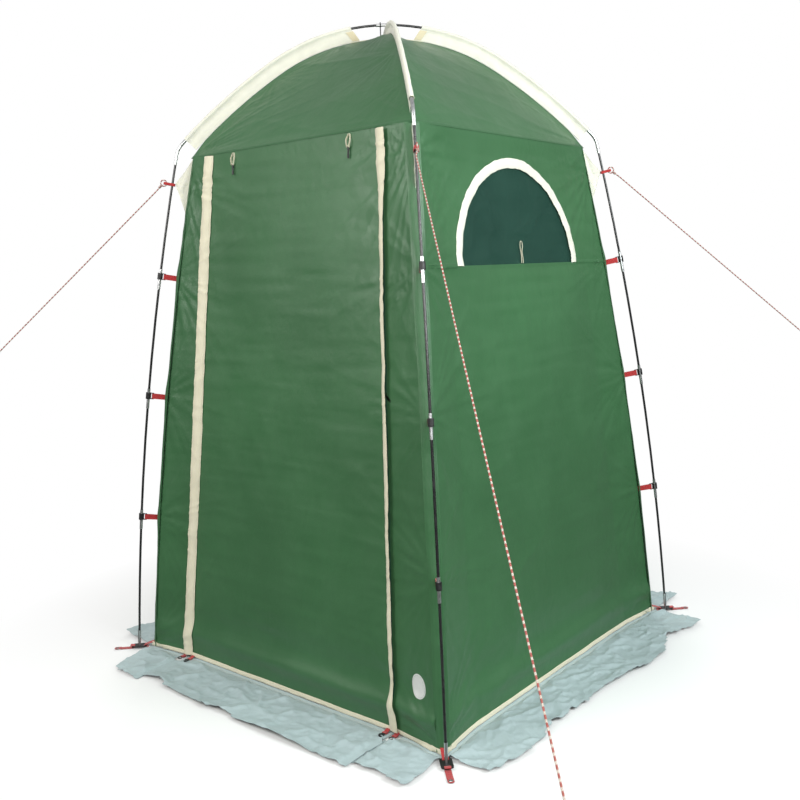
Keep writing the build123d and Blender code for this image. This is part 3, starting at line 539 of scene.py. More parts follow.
def wall_relief(x, z, side):
    """How far the cloth of a wall stands out from its plain shape."""
    seed = QUARTERS[side] * 3 + 1
    edge = corner_half(z) - np.abs(x)
    held = ease(edge / 0.05) * ease((WALL_Z1 - z) / 0.06)
    low = ease(z / 0.10)
    relief = 0.0065 * noise(x * 1.9, z * 1.3, seed) * low
    relief += 0.0022 * noise(x * 6.5, z * 1.4, seed + 1) * low
    patch = ease(noise(x * 2.1, z * 2.7, seed + 2) + 0.55)
    relief += 0.0010 * noise(x * 5.0, z * 42.0, seed + 3) * patch
    relief += 0.0006 * noise(x * 9.0 + z * 3, z * 71.0, seed + 8) * (1 - 0.5 * patch)
    relief += 0.0005 * noise(x * 26.0 + z * 14, z * 9.0, seed + 4) * (1 - patch)
    drag = creases(x * 2.6 + z * 1.2, z * 5.2 - x * 2.2, seed + 9) - 0.35
    relief += 0.0030 * drag * ease(noise(x * 1.7, z * 1.5, seed + 10) + 0.4)
    for sign in (-1, 1):
        for number, height in enumerate(CLIP_Z + (GUY_Z, 0.03, WALL_Z1)):
            strength = (0.0050, 0.0050, 0.0050, 0.0060, 0.0075, 0.0050)[number]
            at = (sign * corner_half(height), height)
            relief += rays(x, z, at, 0.20, strength, seed + number + (5 if sign > 0 else 11))
    hem = 0.0125 * np.exp(-(((z - 0.085) / 0.026) ** 2)) - 0.0060 * np.exp(-(((z - 0.150) / 0.045) ** 2))
    relief += hem * (0.7 + 0.5 * noise(x * 3.1, 0.3, seed + 6))
    return relief * held


def wall_point(x, z, side):
    """Points on a wall's outside, for the front wall's x and z, turned to their side."""
    x, z = together(x, z)
    t = share(z)
    middle, corner, zip_x = lerp(MIDDLE_HALF, t), corner_half(z), zip_half(z)
    out = np.clip((np.abs(x) - zip_x) / (corner - zip_x), 0, 1) ** 1.15
    depth = middle + (corner - middle) * out + wall_relief(x, z, side)
    return turned(np.stack([x, -depth, z], -1), 90 * QUARTERS[side])


def wall_grid(left, right, top=WALL_Z1):
    """Grid of x and z over a wall, between two edges given as functions of z."""
    z = np.linspace(WALL_Z0, top, int((top - WALL_Z0) / CELL) + 1)[:, None]
    wide = float(np.max(right(z) - left(z)))
    u = np.linspace(0, 1, int(wide / CELL) + 1)[None, :]
    return together(left(z) * (1 - u) + right(z) * u, z)


def wall_line(x, z, side, offset=0.0):
    """A line on a wall with the outward direction along it."""
    x, z = together(x, z)
    d = 0.002
    across = wall_point(x + d, z, side) - wall_point(x - d, z, side)
    up = wall_point(x, z + d, side) - wall_point(x, z - d, side)
    out = unit(np.cross(across, up))
    return wall_point(x, z, side) + out * offset, out


def dressed(piece, look, *nodes):
    """A piece's mesh with its materials, in place of the CAD nodes it covers."""
    slot, *materials = look
    made = piece.build(*materials)
    if nodes:
        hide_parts(*nodes)
    return made


def on_tent(piece, look, *nodes):
    """Pieces that keep still."""
    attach(dressed(piece, look, *nodes), "tent")


def cornered(z):
    """Where a wall's cloth meets its corner band."""
    return corner_half(z) - CORNER_CUT


# ---- walls ----
def seam_rows(piece, z, side, x0, x1):
    """Felled seam across a wall: a raised strip with a row of stitches along each edge."""
    x = np.linspace(x0, x1, int((x1 - x0) / 0.01))
    strip = np.stack([wall_line(x, z + dz, side, 0.0012 if abs(dz) < 0.006 else 0.0)[0]
                      for dz in (-0.007, -0.005, 0.005, 0.007)])
    piece.sheet(strip, 0.0004)
    for dz in (-0.004, 0.004):
        piece.stitches(*wall_line(x, z + dz, side, 0.0014))


def plain_wall(side, node):
    piece = Piece("cloth_wall_" + side)
    piece.sheet(wall_point(*wall_grid(lambda z: -cornered(z), cornered), side))
    half = cornered(WINDOW_Z + WINDOW_SILL)
    seam_rows(piece, WINDOW_Z + WINDOW_SILL, side, -half, half)
    on_tent(piece, GREEN_SEWN, node)


def window_wall():
    """Window wall, with its grid pulled onto the arch of the opening."""
    piece = Piece("cloth_wall_window")
    x, z = (values.copy() for values in wall_grid(lambda z: -cornered(z), cornered))
    radius = OPENING_R + 0.004
    sill = WINDOW_Z + WINDOW_SILL
    mid_x, mid_z = (x[:-1, :-1] + x[1:, 1:]) / 2, (z[:-1, :-1] + z[1:, 1:]) / 2
    inside = (np.hypot(mid_x, mid_z - WINDOW_Z) < radius) & (mid_z > sill)
    border = np.zeros(x.shape, int)
    for rows in (slice(None, -1), slice(1, None)):
        for cols in (slice(None, -1), slice(1, None)):
            border[rows, cols] |= np.where(inside, 1, 2)
    edge = border == 3
    a = np.arctan2(z - WINDOW_Z, x)
    low = edge & (np.abs(z - sill) < CELL)
    round_ = edge & ~low
    z[low] = sill
    x[round_], z[round_] = (radius * np.cos(a))[round_], (WINDOW_Z + radius * np.sin(a))[round_]
    piece.sheet(wall_point(x, z, "window"), keep=~inside, uv=np.stack([x, z], 2))
    for x0, x1 in ((-cornered(sill), -WINDOW_R), (WINDOW_R, cornered(sill))):
        seam_rows(piece, sill, "window", x0, x1)
    below = np.linspace(-WINDOW_R, WINDOW_R, 80)
    for dz in (-0.004, -0.009):
        piece.stitches(*wall_line(below, sill + dz, "window", 0.0002))
    on_tent(piece, GREEN_SEWN, "wall_window_side")


def front_strips():
    piece = Piece("cloth_front_strips")
    for sign in (-1, 1):
        def near(z):
            return sign * (zip_half(z) + ZIP_GAP)

        def far(z):
            return sign * cornered(z)

        left, right = (near, far) if sign > 0 else (far, near)
        piece.sheet(wall_point(*wall_grid(left, right), "front"))
        z = np.linspace(WALL_Z0 + 0.02, WALL_Z1 - 0.01, 240)
        piece.stitches(*wall_line(sign * (zip_half(z) + ZIP_GAP + 0.003), z, "front", 0.0001))
    on_tent(piece, GREEN_SEWN, "wall_front_strips")


def corner_bands():
    """Felled corner seams: a narrow folded band that the clip straps are sewn to."""
    piece = Piece("corner_bands")
    z = np.linspace(WALL_Z0, WALL_Z1, int((WALL_Z1 - WALL_Z0) / CELL))
    for number, azimuth in enumerate(CORNERS.values()):
        half = corner_half(z)
        inner = half - CORNER_CUT - 0.003
        pulled = sum(0.005 * np.exp(-(((z - h) / 0.05) ** 2)) for h in CLIP_Z)
        wave = 0.0018 * noise(z * 7.0, 0.5, number) + 0.0008 * noise(z * 31.0, 0.1, number)
        columns = []
        for t in np.linspace(-1, 1, 9):
            across = t * (half - inner) / sqrt(2) * (1 + 0.1 * noise(z * 5.0, 3.0, number))
            depth = (half + inner) / sqrt(2) + (0.0075 + pulled * 0.8 + wave) * (1 - t * t) + 0.0008
            columns.append(np.stack([depth, across, z], -1))
        grid = turned(np.stack(columns, 1), azimuth)
        piece.sheet(grid, 0.0010)
        out = unit(turned(np.array([1.0, 0, 0.1]), azimuth))
        for column in (1, 7):
            piece.stitches(grid[:, column] + out * 0.0003, out)
    on_tent(piece, GREEN_SEWN)


# ---- roof ----
def roof_point(s, run, side, offset=0.0):
    """Points of a roof gore: s from -1 to 1 between its ridges, run in metres down from the peak."""
    s, run = together(s, run)
    angle = RIDGE.angle(run)
    r, z = RIDGE.at(angle)
    half = r / sqrt(2)
    x, share_ = s * half, run / RIDGE.length
    seed = 40 + QUARTERS[side] * 4
    held = ease(half * (1 - np.abs(s)) / 0.04) * ease((RIDGE.length - run) / 0.05)
    relief = -0.014 * np.sin(pi * np.clip(share_, 0, 1)) * (1 - s * s)
    sag = 0.0055 * noise(x * 2.6, run * 2.6, seed) + 0.0016 * noise(x * 7, run * 7, seed + 3)
    relief += sag * held
    folds = rays(x, run, (0.0, 0.0), 0.14, 0.0014, seed + 1, 11.0)
    for sign in (-1, 1):
        for number, (stop, reach, height) in enumerate(((0.16, 0.12, 0.0028), (0.40, 0.13, 0.0030),
                                                        (0.60, 0.12, 0.0026), (0.78, 0.24, 0.0046))):
            at = (sign * float(RIDGE.at(RIDGE.angle(stop))[0]) / sqrt(2), stop)
            folds += rays(x, run, at, reach, height, seed + number + (3 if sign > 0 else 9), 9.0)
    drag = 0.0022 * (creases(x * 3 + run * 2.2, run * 8 - x * 2, seed + 6) - 0.35)
    fine = 0.0005 * noise(x * 9, run * 45, seed + 2) * ease(noise(x * 3, run * 3, seed + 7) + 0.4)
    calm = 0.5 if side == "window" else 1.0
    relief = relief + (folds + drag + fine) * held * calm + offset
    tip = 1 - 0.012 * ease((run - RIDGE.length + 0.09) / 0.09) * np.abs(s) ** 10
    x, half = x * tip, half * tip
    y = -(half + relief * np.sin(angle) * 1.1)
    return turned(np.stack([x, y, z + relief * np.cos(angle)], -1), 90 * QUARTERS[side])


def roof_gores():
    low = RIDGE.length
    for side in QUARTERS:
        piece = Piece("cloth_roof_" + side)
        s = np.linspace(-1, 1, 141)[None, :]
        run = np.linspace(low, 0.003, 121)[:, None]
        piece.sheet(roof_point(s, run, side), uv=np.stack(np.broadcast_arrays(s * 0.48, -run), 2))
        s = np.linspace(-0.995, 0.995, 110)
        strip = np.stack([roof_point(s, low + dr, side, o) for dr, o in
                          ((0.003, 0.0006), (0.0, 0.0009), (-0.009, 0.0008), (-0.011, 0.0002))])
        piece.sheet(strip, 0.0005)
        out = unit(turned(np.array([0, -1.0, 0.5]), 90 * QUARTERS[side]))
        for dr in (-0.001, -0.007):
            piece.stitches(roof_point(s, low + dr, side, 0.0011), out)
        on_tent(piece, GREEN_SEWN, "roof_panels")


def pole_point(arch, run):
    """Point of a pole's arch, the direction straight out from it, and its height over the ridge."""
    angle = float(arch.angle(abs(run)))
    r, z = arch.at(angle)
    ridge_r, ridge_z = RIDGE.at(np.linspace(0.0, RIDGE.end, 300))
    aside = (ridge_r - r) * cos(angle) - (ridge_z - z) * sin(angle)
    height = (r - ridge_r) * sin(angle) + (z - ridge_z) * cos(angle)
    side = -1.0 if run < 0 else 1.0
    out = np.array([side * sin(angle), 0, cos(angle)])
    return np.array([side * r, 0, z]), out, float(np.interp(0.0, aside, height))


FIN_SLANT = 0.022                                  # a sleeve's end runs back by this much down its fin


def fin_row(section, at, out, fin, slant):
    """Points of one section of a sleeve, given as height over the pole and distance to its side."""
    ahead = unit(np.cross(ACROSS, out))
    return [at + out * h + ACROSS * b - ahead * (slant * max(-h, 0) / fin) for h, b in section]


def sleeve(name, arch, azimuth, start, stop):
    """Sleeve folded round the pole, with a fin of two layers down to the ridge."""
    piece = Piece(name)
    tube_r = 0.0064
    runs = np.linspace(start, stop, int((stop - start) / 0.0065))
    profile_turn = np.linspace(-0.78 * pi, 0.78 * pi, 15)
    rows = []
    for run in runs:
        at, out, fin = pole_point(arch, run)
        near_end = min(abs(run - start), abs(stop - run))
        pucker = 0.0010 * float(noise(run * 47, 0.3, 71)) + 0.0006 * float(noise(run * 130, 0.3, 72))
        lean = 0.0045 * float(noise(run * 9, 0.8, 73)) + 0.0015 * float(noise(run * 34, 0.8, 75))
        slack = 1 + 0.08 * float(noise(run * 33, 1.3, 74)) + (0.12 if near_end < 0.008 else 0)
        hem = fin * 0.55 + 0.002 * float(noise(run * 12, 0.1, 76))
        section = [(0.0010 - fin, -0.0015), (-fin * 0.80, -0.0014 + lean * 0.3), (-hem, -0.0020 + lean)]
        section += [(-hem + 0.002, -0.0011 + lean), (-tube_r * 1.7, -0.0016 + lean * 0.5 + pucker)]
        section += [(tube_r * slack * cos(a), tube_r * slack * sin(a)) for a in profile_turn]
        section += [(-tube_r * 1.7, 0.0016 + lean * 0.5 + pucker), (-hem + 0.002, 0.0011 + lean)]
        section += [(-hem, 0.0020 + lean), (-fin * 0.80, 0.0014 + lean * 0.3), (0.0010 - fin, 0.0015)]
        slant = FIN_SLANT * float(1 - ease((run - start) / 0.08)) if start > 0 else 0.0
        rows.append(fin_row(section, at, out, fin, slant))
    grid = np.array(rows)
    piece.sheet(turned(grid, azimuth), 0.0006)
    side_way = turned(ACROSS, azimuth)
    for column, sign in ((1, -1), (4, -1), (-2, 1), (-5, 1)):
        piece.stitches(turned(grid[:, column], azimuth) + side_way * sign * 0.0003, side_way * sign)
    return piece


def sleeve_end(name, azimuth):
    """Reinforcement folded over the end of a sleeve next to the crossing."""
    piece = Piece(name)
    rows = []
    for run in np.linspace(SLEEVE_STOP - 0.001, SLEEVE_STOP + 0.024, 8):
        at, out, fin = pole_point(UPPER_POLE, run)
        high, low, side = -0.0105, 0.003 - fin, 0.0052
        section = [(low, -side * 0.5), (low * 0.7, -side), (high, -side * 0.9), (high + 0.001, 0.0),
                   (high, side * 0.9), (low * 0.7, side), (low, side * 0.5)]
        rows.append(fin_row(section, at, out, fin, FIN_SLANT))
    grid = np.array(rows)
    keep = np.ones((grid.shape[0] - 1, grid.shape[1] - 1), bool)
    keep[:, 2:4] = False
    piece.sheet(turned(grid, azimuth), 0.0008, keep=keep)
    return piece


def sleeves():
    end = SLEEVED_POLE.length - 0.040
    on_tent(sleeve("sleeve_over_peak", SLEEVED_POLE, -45.0, -end, end), PALE_SEWN, "pole_sleeves")
    for name, azimuth in (("right", 45.0), ("left", 225.0)):
        piece = sleeve("sleeve_" + name, UPPER_POLE, azimuth, SLEEVE_STOP, UPPER_POLE.length - 0.040)
        on_tent(piece, PALE_SEWN, "pole_sleeves")
        on_tent(sleeve_end("sleeve_end_" + name, azimuth), ("cream_cloth", TAN))


def ridge_cords():
    """Piping along the roof's ridges, where the upper pole has no sleeve."""
    piece = Piece("ridge_piping")
    r, z = RIDGE.at(RIDGE.angle(np.linspace(0.0, SLEEVE_STOP, 26)))
    for azimuth in (45.0, 225.0):
        piece.tube(turned(np.stack([r, 0 * r, z + 0.0004], -1), azimuth), 0.0016, 8)
    on_tent(piece, ("cream_cloth", CREAM))


# ---- door ----
DOOR_TOP = WALL_Z1 - 0.004


def on_door(piece, look, *nodes):
    """Door pieces, with their transform applied to the mesh."""
    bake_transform(dressed(piece, look, *nodes))


def door_cloth():
    piece = Piece("cloth_door")
    x, z = wall_grid(lambda z: -zip_half(z) + ZIP_GAP, lambda z: zip_half(z) - ZIP_GAP, WALL_Z1 - 0.0005)
    piece.sheet(wall_point(x, z, "front"))
    z = np.linspace(WALL_Z0 + 0.02, DOOR_TOP - 0.01, 240)
    for sign in (-1, 1):
        piece.stitches(*wall_line(sign * (zip_half(z) - ZIP_GAP - 0.003), z, "front", 0.0001))
    on_door(piece, GREEN_SEWN, "door_panel")


def storm_flap(sign):
    """Cream strip over a zip. The right one curls in where its edge isn't held."""
    piece = Piece("storm_flap_" + ("right" if sign > 0 else "left"))
    z = np.linspace(WALL_Z0 + 0.004, DOOR_TOP - 0.002, 330)[:, None]
    seed = 60 + sign
    u = np.linspace(0, 1, 11)[None, :]
    wide = 0.038 + 0.0015 * noise(z * 4, 0.2, seed)
    if sign > 0:
        curl = ease((1.585 - z) / 0.14) * ease((z - 0.05) / 0.09) * (0.80 + 0.3 * noise(z * 4.5, 1.0, seed))
    else:
        curl = 0.12 * ease((1.5 - z) / 0.3) * (1 + noise(z * 3, 0.4, seed))
    shown = wide * (1 - 0.50 * curl)
    inner = zip_half(z) - 0.016 + 0.007 * curl + 0.0014 * noise(z * 11, 0.6, seed)
    x = inner + shown * u
    lift = 0.0102 + 0.0030 * np.sin(pi * u) + curl * 0.006 * u**2 + 0.0010 * noise(z * 14, u * 2, seed)
    lift = lift - 0.0078 * (1 - u) ** 3
    line, out = wall_line(sign * x, z, "front")
    grid = line + unit(out.mean(axis=(0, 1))) * lift[..., None]
    if sign < 0:
        grid = grid[:, ::-1]
    piece.sheet(grid, 0.0011)
    face = unit(np.cross(np.gradient(grid, axis=1), np.gradient(grid, axis=0)))
    for column in (1, 9):
        piece.stitches(grid[:, column] + face[:, column] * 0.0002, face[:, column])
    return piece


def storm_flaps():
    for sign in (1, -1):
        on_door(storm_flap(sign), CREAM_SEWN, "door_flaps")


def zip_teeth(piece, sign, half):
    """Coil teeth of half a zip, on its tape."""
    z = np.arange(WALL_Z0 + 0.004, DOOR_TOP - 0.004, 0.0030) + (0.0015 if half > 0 else 0.0)
    base, out = wall_line(sign * (zip_half(z) + half * 0.0014), z, "front", 0.0004)
    along = unit(np.gradient(base, axis=0))
    side = np.cross(out, along)
    shape = [(a, b, c) for c in (0, 1) for a, b in ((-1, -1), (1, -1), (1, 1), (-1, 1))]
    points = np.stack([base + side * (a * 0.0017) + along * (b * (0.0009 - 0.0003 * c)) + out * (c * 0.0012)
                       for a, b, c in shape], 1)
    block = np.arange(len(z))[:, None] * 8
    quads = [(0, 3, 2, 1), (4, 5, 6, 7), (0, 1, 5, 4), (1, 2, 6, 5), (2, 3, 7, 6), (3, 0, 4, 7)]
    faces = np.concatenate([block + np.array(q)[None, :] for q in quads])
    piece.add(points, faces, 1)


def zips():
    """Zip tapes with their coils: the wall's halves, then the door's halves."""
    halves = ((1, "zip_wall_halves", "wall_zip_tapes"), (-1, "zip_door_halves", "door_zip_tapes"))
    for half, name, node in halves:
        piece = Piece(name)
        for sign in (-1, 1):
            z = np.linspace(WALL_Z0, DOOR_TOP, 200)[:, None]
            u = np.linspace(0.0004, 0.0085, 4)[None, :]
            x = np.sort(sign * (zip_half(z) + half * u), axis=1)
            line, out = wall_line(x, z, "front")
            piece.sheet(line - out * 0.0006, 0.0006)
            zip_teeth(piece, sign, half)
        if half > 0:
            on_tent(piece, ZIPPED, node)
        else:
            on_door(piece, ZIPPED, node)


# ---- webbing ----
def smooth_path(points, count, closed=False):
    """Rounded path through or near a few points."""
    points = np.asarray(points, float)
    for _ in range(3):
        ahead = np.roll(points, -1, 0) if closed else points[1:]
        here = points if closed else points[:-1]
        cut = np.stack([here * 0.75 + ahead * 0.25, here * 0.25 + ahead * 0.75], 1)
        cut = cut.reshape(-1, points.shape[1])
        points = cut if closed else np.concatenate([points[:1], cut, points[-1:]])
    if closed:
        points = np.concatenate([points, points[:1]])
    run = distances(points)
    return resampled(points, run, np.linspace(0, run[-1], count))


def ribbon(piece, path, width_way, width, thick=0.0014, columns=5):
    """Webbing along a path, flat across width_way."""
    path, way = np.asarray(path, float), np.asarray(width_way, float)
    across = np.linspace(-0.5, 0.5, columns) * width
    grid = path[:, None] + across[None, :, None] * way
    uv = np.stack(np.broadcast_arrays(across[None, :], distances(path)[:, None]), 2)
    out = unit(np.cross(np.gradient(grid, axis=1), np.gradient(grid, axis=0)))
    piece.sheet(grid + out * thick / 2, thick, uv)


CLIP_BAR, STRAP_W = 0.015, 0.018


def strap_reach(z):
    """Distance from a corner's band to the bar of its clip."""
    return leg_r(z) - CLIP_BAR - (corner_half(z) * 2 - CORNER_CUT) / sqrt(2)


def clip_straps():
    """Each strap is sewn to the corner band and loops round its clip's bar."""
    piece = Piece("clip_webbing")
    for azimuth in CORNERS.values():
        for z in CLIP_Z:
            at, out, across, up = leg_frame(z)
            bar, seam, r = -CLIP_BAR, -CLIP_BAR - strap_reach(z) + 0.002, 0.0033
            bend = [(bar + r * cos(a), r * sin(a)) for a in np.linspace(-0.6 * pi, 0.6 * pi, 9)]
            near = [(seam, -0.0009), (seam + 0.016, -0.0010)]
            far = [(seam + 0.016, 0.0010), (seam, 0.0009)]
            path = np.array([at + out * x + across * y for x, y in smooth_path(near + bend + far, 44)])
            ribbon(piece, turned(path, azimuth), turned(up, azimuth), STRAP_W)
            for sign in (-1, 1):
                normal = turned(across * sign, azimuth)
                box = [(0.004, -0.007), (0.016, -0.007), (0.016, 0.007), (0.004, 0.007), (0.004, -0.007),
                       (0.016, 0.007)]
                rows = np.array([at + out * (seam + a) + up * b + across * sign * 0.0019 for a, b in box])
                for k in range(len(rows) - 1):
                    segment = np.linspace(rows[k], rows[k + 1], 8)
                    piece.stitches(turned(segment, azimuth), normal, 0.003, 0.0022)
    on_tent(piece, RED_SEWN, "clip_straps")


PLATE_Z, PLATE_T, SLOT_AT = 0.006, 0.003, 0.017
PEG_EYE, EYELET_R = 0.060, 0.005


def foot_webbing():
    straps, tabs = Piece("foot_webbing"), Piece("peg_webbing")
    seam = CORNER_HALF[0] * sqrt(2)
    r = float(leg_r(PLATE_Z))
    top = PLATE_Z + PLATE_T + 0.0016
    for azimuth in CORNERS.values():
        way = turned(ACROSS, azimuth)
        slot = r - SLOT_AT
        outline = [(seam - 0.016, 0.022), (seam + 0.002, 0.017), (slot - 0.004, top), (slot, top - 0.001),
                   (slot, PLATE_Z - 0.0012), (slot - 0.016, PLATE_Z - 0.0016)]
        path = np.array([(x, 0, z) for x, z in smooth_path(outline, 40)])
        ribbon(straps, turned(path, azimuth), way, STRAP_W)
        slot = r + SLOT_AT
        outline = [(slot + 0.014, top), (slot + 0.002, top), (slot, top - 0.001), (slot, 0.003),
                   (slot + 0.004, 0.0015), (slot + PEG_EYE - 0.012, 0.0014)]
        path = np.array([(x, 0, z) for x, z in smooth_path(outline, 40)])
        ribbon(tabs, turned(path, azimuth), way, STRAP_W)
        eyelet_tab(tabs, slot + PEG_EYE, azimuth)
        for x in (slot + 0.020, slot + 0.030):
            line = np.array([(x, y, 0.0022) for y in np.linspace(-0.008, 0.008, 10)])
            tabs.stitches(turned(line, azimuth), UP, 0.0026, 0.002)
    on_tent(straps, RED_SEWN, "foot_straps")
    on_tent(tabs, RED_SEWN, "peg_tabs")


def eyelet_tab(piece, r, azimuth):
    """Outer end of a peg tab, with a hole for its eyelet."""
    a = np.linspace(-pi, pi, 41)
    hole, half = EYELET_R + 0.0013, STRAP_W / 2
    outer = []
    for angle in a:
        c, s = cos(angle), sin(angle)
        edge = half / max(abs(s), 1e-6)
        reach = max(0.0105 if c >= 0 else min(0.0135 / -c, edge), half)
        outer.append((c * reach, s * min(reach, edge)))
    outer = np.array(outer)
    inner = np.stack([hole * np.cos(a), hole * np.sin(a)], 1)
    t = np.linspace(0, 1, 4)[:, None, None]
    ring = inner[None] * t + outer[None] * (1 - t)
    grid = np.concatenate([ring + [r, 0], np.full(ring.shape[:2] + (1,), 0.0021)], 2)
    piece.sheet(turned(grid, azimuth)[::-1], 0.0014, uv=ring)


LOOP_END, GUSSET_Z0 = 0.0285, 1.500


def guy_loops():
    """Red loops round the poles at the guy-out points, and the cream gussets that hold them."""
    loops, gussets = Piece("guy_webbing"), Piece("guy_gussets_cloth")
    for number, azimuth in enumerate(CORNERS.values()):
        at, out, across, up = leg_frame(GUY_Z)
        low, high, gap = -0.0095, LOOP_END, 0.0060
        bend_out = [(high - gap + gap * cos(a), gap * sin(a)) for a in np.linspace(-pi / 2, pi / 2, 9)]
        bend_in = [(low + gap - gap * cos(a), gap * sin(a)) for a in np.linspace(pi / 2, -pi / 2, 9)]
        outline = smooth_path(bend_out + bend_in, 60, closed=True)
        path = np.array([at + out * x + across * y for x, y in outline])
        ribbon(loops, turned(path, azimuth), turned(up, azimuth), 0.009)
        z = np.linspace(GUSSET_Z0, WALL_Z1 + 0.004, 30)[:, None]
        t = np.linspace(0, 1, 16)[None, :]
        seam_r = (corner_half(z) * 2 - CORNER_CUT) / sqrt(2) + 0.002
        tip_z = GUY_Z - 0.0045 + 0.009 * (z - GUSSET_Z0) / 0.194
        x = seam_r * (1 - t) + (at[0] - 0.0112) * t
        zz = z * (1 - t) + tip_z * t + 0.004 * np.sin(pi * t) * np.where(z > GUY_Z, -1, 1)
        y = 0.0030 * noise(t * 4 + z * 9, z * 14, 80 + number) * np.sin(pi * t)
        grid = turned(np.stack([x, y, zz], -1), azimuth)
        gussets.sheet(grid, 0.0010)
        way = turned(across, azimuth)
        for sign in (-1, 1):
            shift = way * sign * (0.0003 if sign > 0 else 0.0013)
            for row in (1, -2):
                gussets.stitches(grid[row] + shift, way * sign)
            gussets.stitches(grid[:, 1] + shift, way * sign)
    on_tent(loops, RED_SEWN, "guy_loops")
    on_tent(gussets, PALE_SEWN, "guy_gussets")


# ---- guylines ----
ROPE_R, STRAND, EYE_R, DOUBLED, JOIN_L = 0.002, 0.0071, 0.010, 0.420, 0.030
KNOT_R, WRAP_R, WRAP_L = 0.0022, 0.0032, 0.014
# how far out each peg stands from its loop, and by how many degrees to the side
GUY_RUN = {"front_right": (1.750, 2.6), "back_right": (1.900, 0.0), "back_left": (1.800, 0.0),
           "front_left": (1.735, 0.0)}


def coil(at, along, across, turn, ahead, radius):
    """Cord wound round a line; turn is its angle round it and ahead its distance along it."""
    return (at + along * ahead[:, None] + across * (radius * np.cos(turn))[:, None]
            + np.cross(along, across) * (radius * np.sin(turn))[:, None])


def guylines():
    """Braided cords from the loops to the pegs, round them and back to a stopper knot."""
    piece = Piece("guy_cords")
    at, out, _, _ = leg_frame(GUY_Z)
    eye = at + out * LOOP_END
    for name, azimuth in CORNERS.items():
        run, swing = GUY_RUN[name]
        foot = np.array([eye[0] + run * cos(radians(swing)), run * sin(radians(swing)), 0.012])
        line = eye - foot
        length = np.linalg.norm(line) - EYE_R
        along = unit(line)
        across = unit(np.cross(UP, along))
        start = np.stack([foot + along * d + across * STRAND for d in np.arange(length - JOIN_L, 0, -0.012)])
        bend = np.stack([foot + across * STRAND * cos(a) - along * STRAND * sin(a)
                         for a in np.linspace(0, pi, 13)])
        back = np.stack([foot + along * d - across * STRAND for d in np.arange(0.012, DOUBLED, 0.012)])
        path = np.concatenate([[foot + along * (length + 0.001)], start, bend, back])
        at_points = distances(path)
        path = resampled(path, at_points, np.linspace(0, at_points[-1], int(at_points[-1] / 0.0022)))
        piece.tube(turned(path, azimuth), ROPE_R, 8, twist=500.0, lobes=2)
        a = np.linspace(0, 2 * pi, 40)[:-1]
        ring = np.stack([eye[0] + EYE_R * np.cos(a), 0 * a, eye[2] + EYE_R * np.sin(a)], 1)
        piece.tube(turned(ring, azimuth), ROPE_R, 8, closed=True)
        a = np.linspace(0, 4 * pi, 50)
        end = foot + along * DOUBLED - across * STRAND
        knot = coil(end, along, across, a, KNOT_R * np.sin(a / 2), KNOT_R)
        piece.tube(turned(knot, azimuth), 0.0019, 8)
        a = np.linspace(0, 10 * pi, 90)
        wrap = coil(foot + along * (length - 0.012), along, across, a, a / (10 * pi) * WRAP_L, WRAP_R)
        piece.tube(turned(wrap, azimuth), 0.0012, 6)
    on_tent(piece, ("guy_cord", CORD), "guylines")


# ---- hem and skirts ----
def hem_tape(piece, side, x0, x1):
    """Bound hem: a tape folded round the cloth's edge, a little puckered."""
    x = np.linspace(x0, x1, int((x1 - x0) / 0.006))
    rows = []
    for dz, off in ((0.0125, 0.0008), (0.0115, 0.0016), (0.004, 0.0020), (-0.001, 0.0019), (-0.002, 0.0006)):
        pucker = 0.0005 * noise(x * 55, dz * 60, 5) + 0.0007 * noise(x * 17, 0.4, 6)
        z = np.maximum(WALL_Z0 + dz + 0.0012 * noise(x * 9, 0.9, 7 + QUARTERS[side]), 0.0055)
        line, out = wall_line(x, z, side)
        rows.append(line + out * (off + np.abs(pucker))[:, None])
    piece.sheet(np.array(rows)[::-1], 0.0008)
    piece.stitches(*wall_line(x, WALL_Z0 + 0.009, side, 0.0024))


def hems():
    piece = Piece("hem_binding")
    end = corner_half(WALL_Z0) - 0.008
    for side in ("window", "back", "left"):
        hem_tape(piece, side, -end, end)
    edge = ZIP_HALF[0] + 0.002
    hem_tape(piece, "front", edge, end)
    hem_tape(piece, "front", -end, -edge)
    on_tent(piece, CREAM_SEWN, "hem_tapes")
    door = Piece("door_hem_binding")
    hem_tape(door, "front", -edge + 0.004, edge - 0.004)
    on_door(door, CREAM_SEWN, "door_hem_tape")


SKIRT_EDGE = 0.838                                 # how far out from the middle the skirts reach
SKIRT_CLEAR = 0.680                                # past the hooks and rings at the foot of the zips
SKIRT_LOW = 0.0022


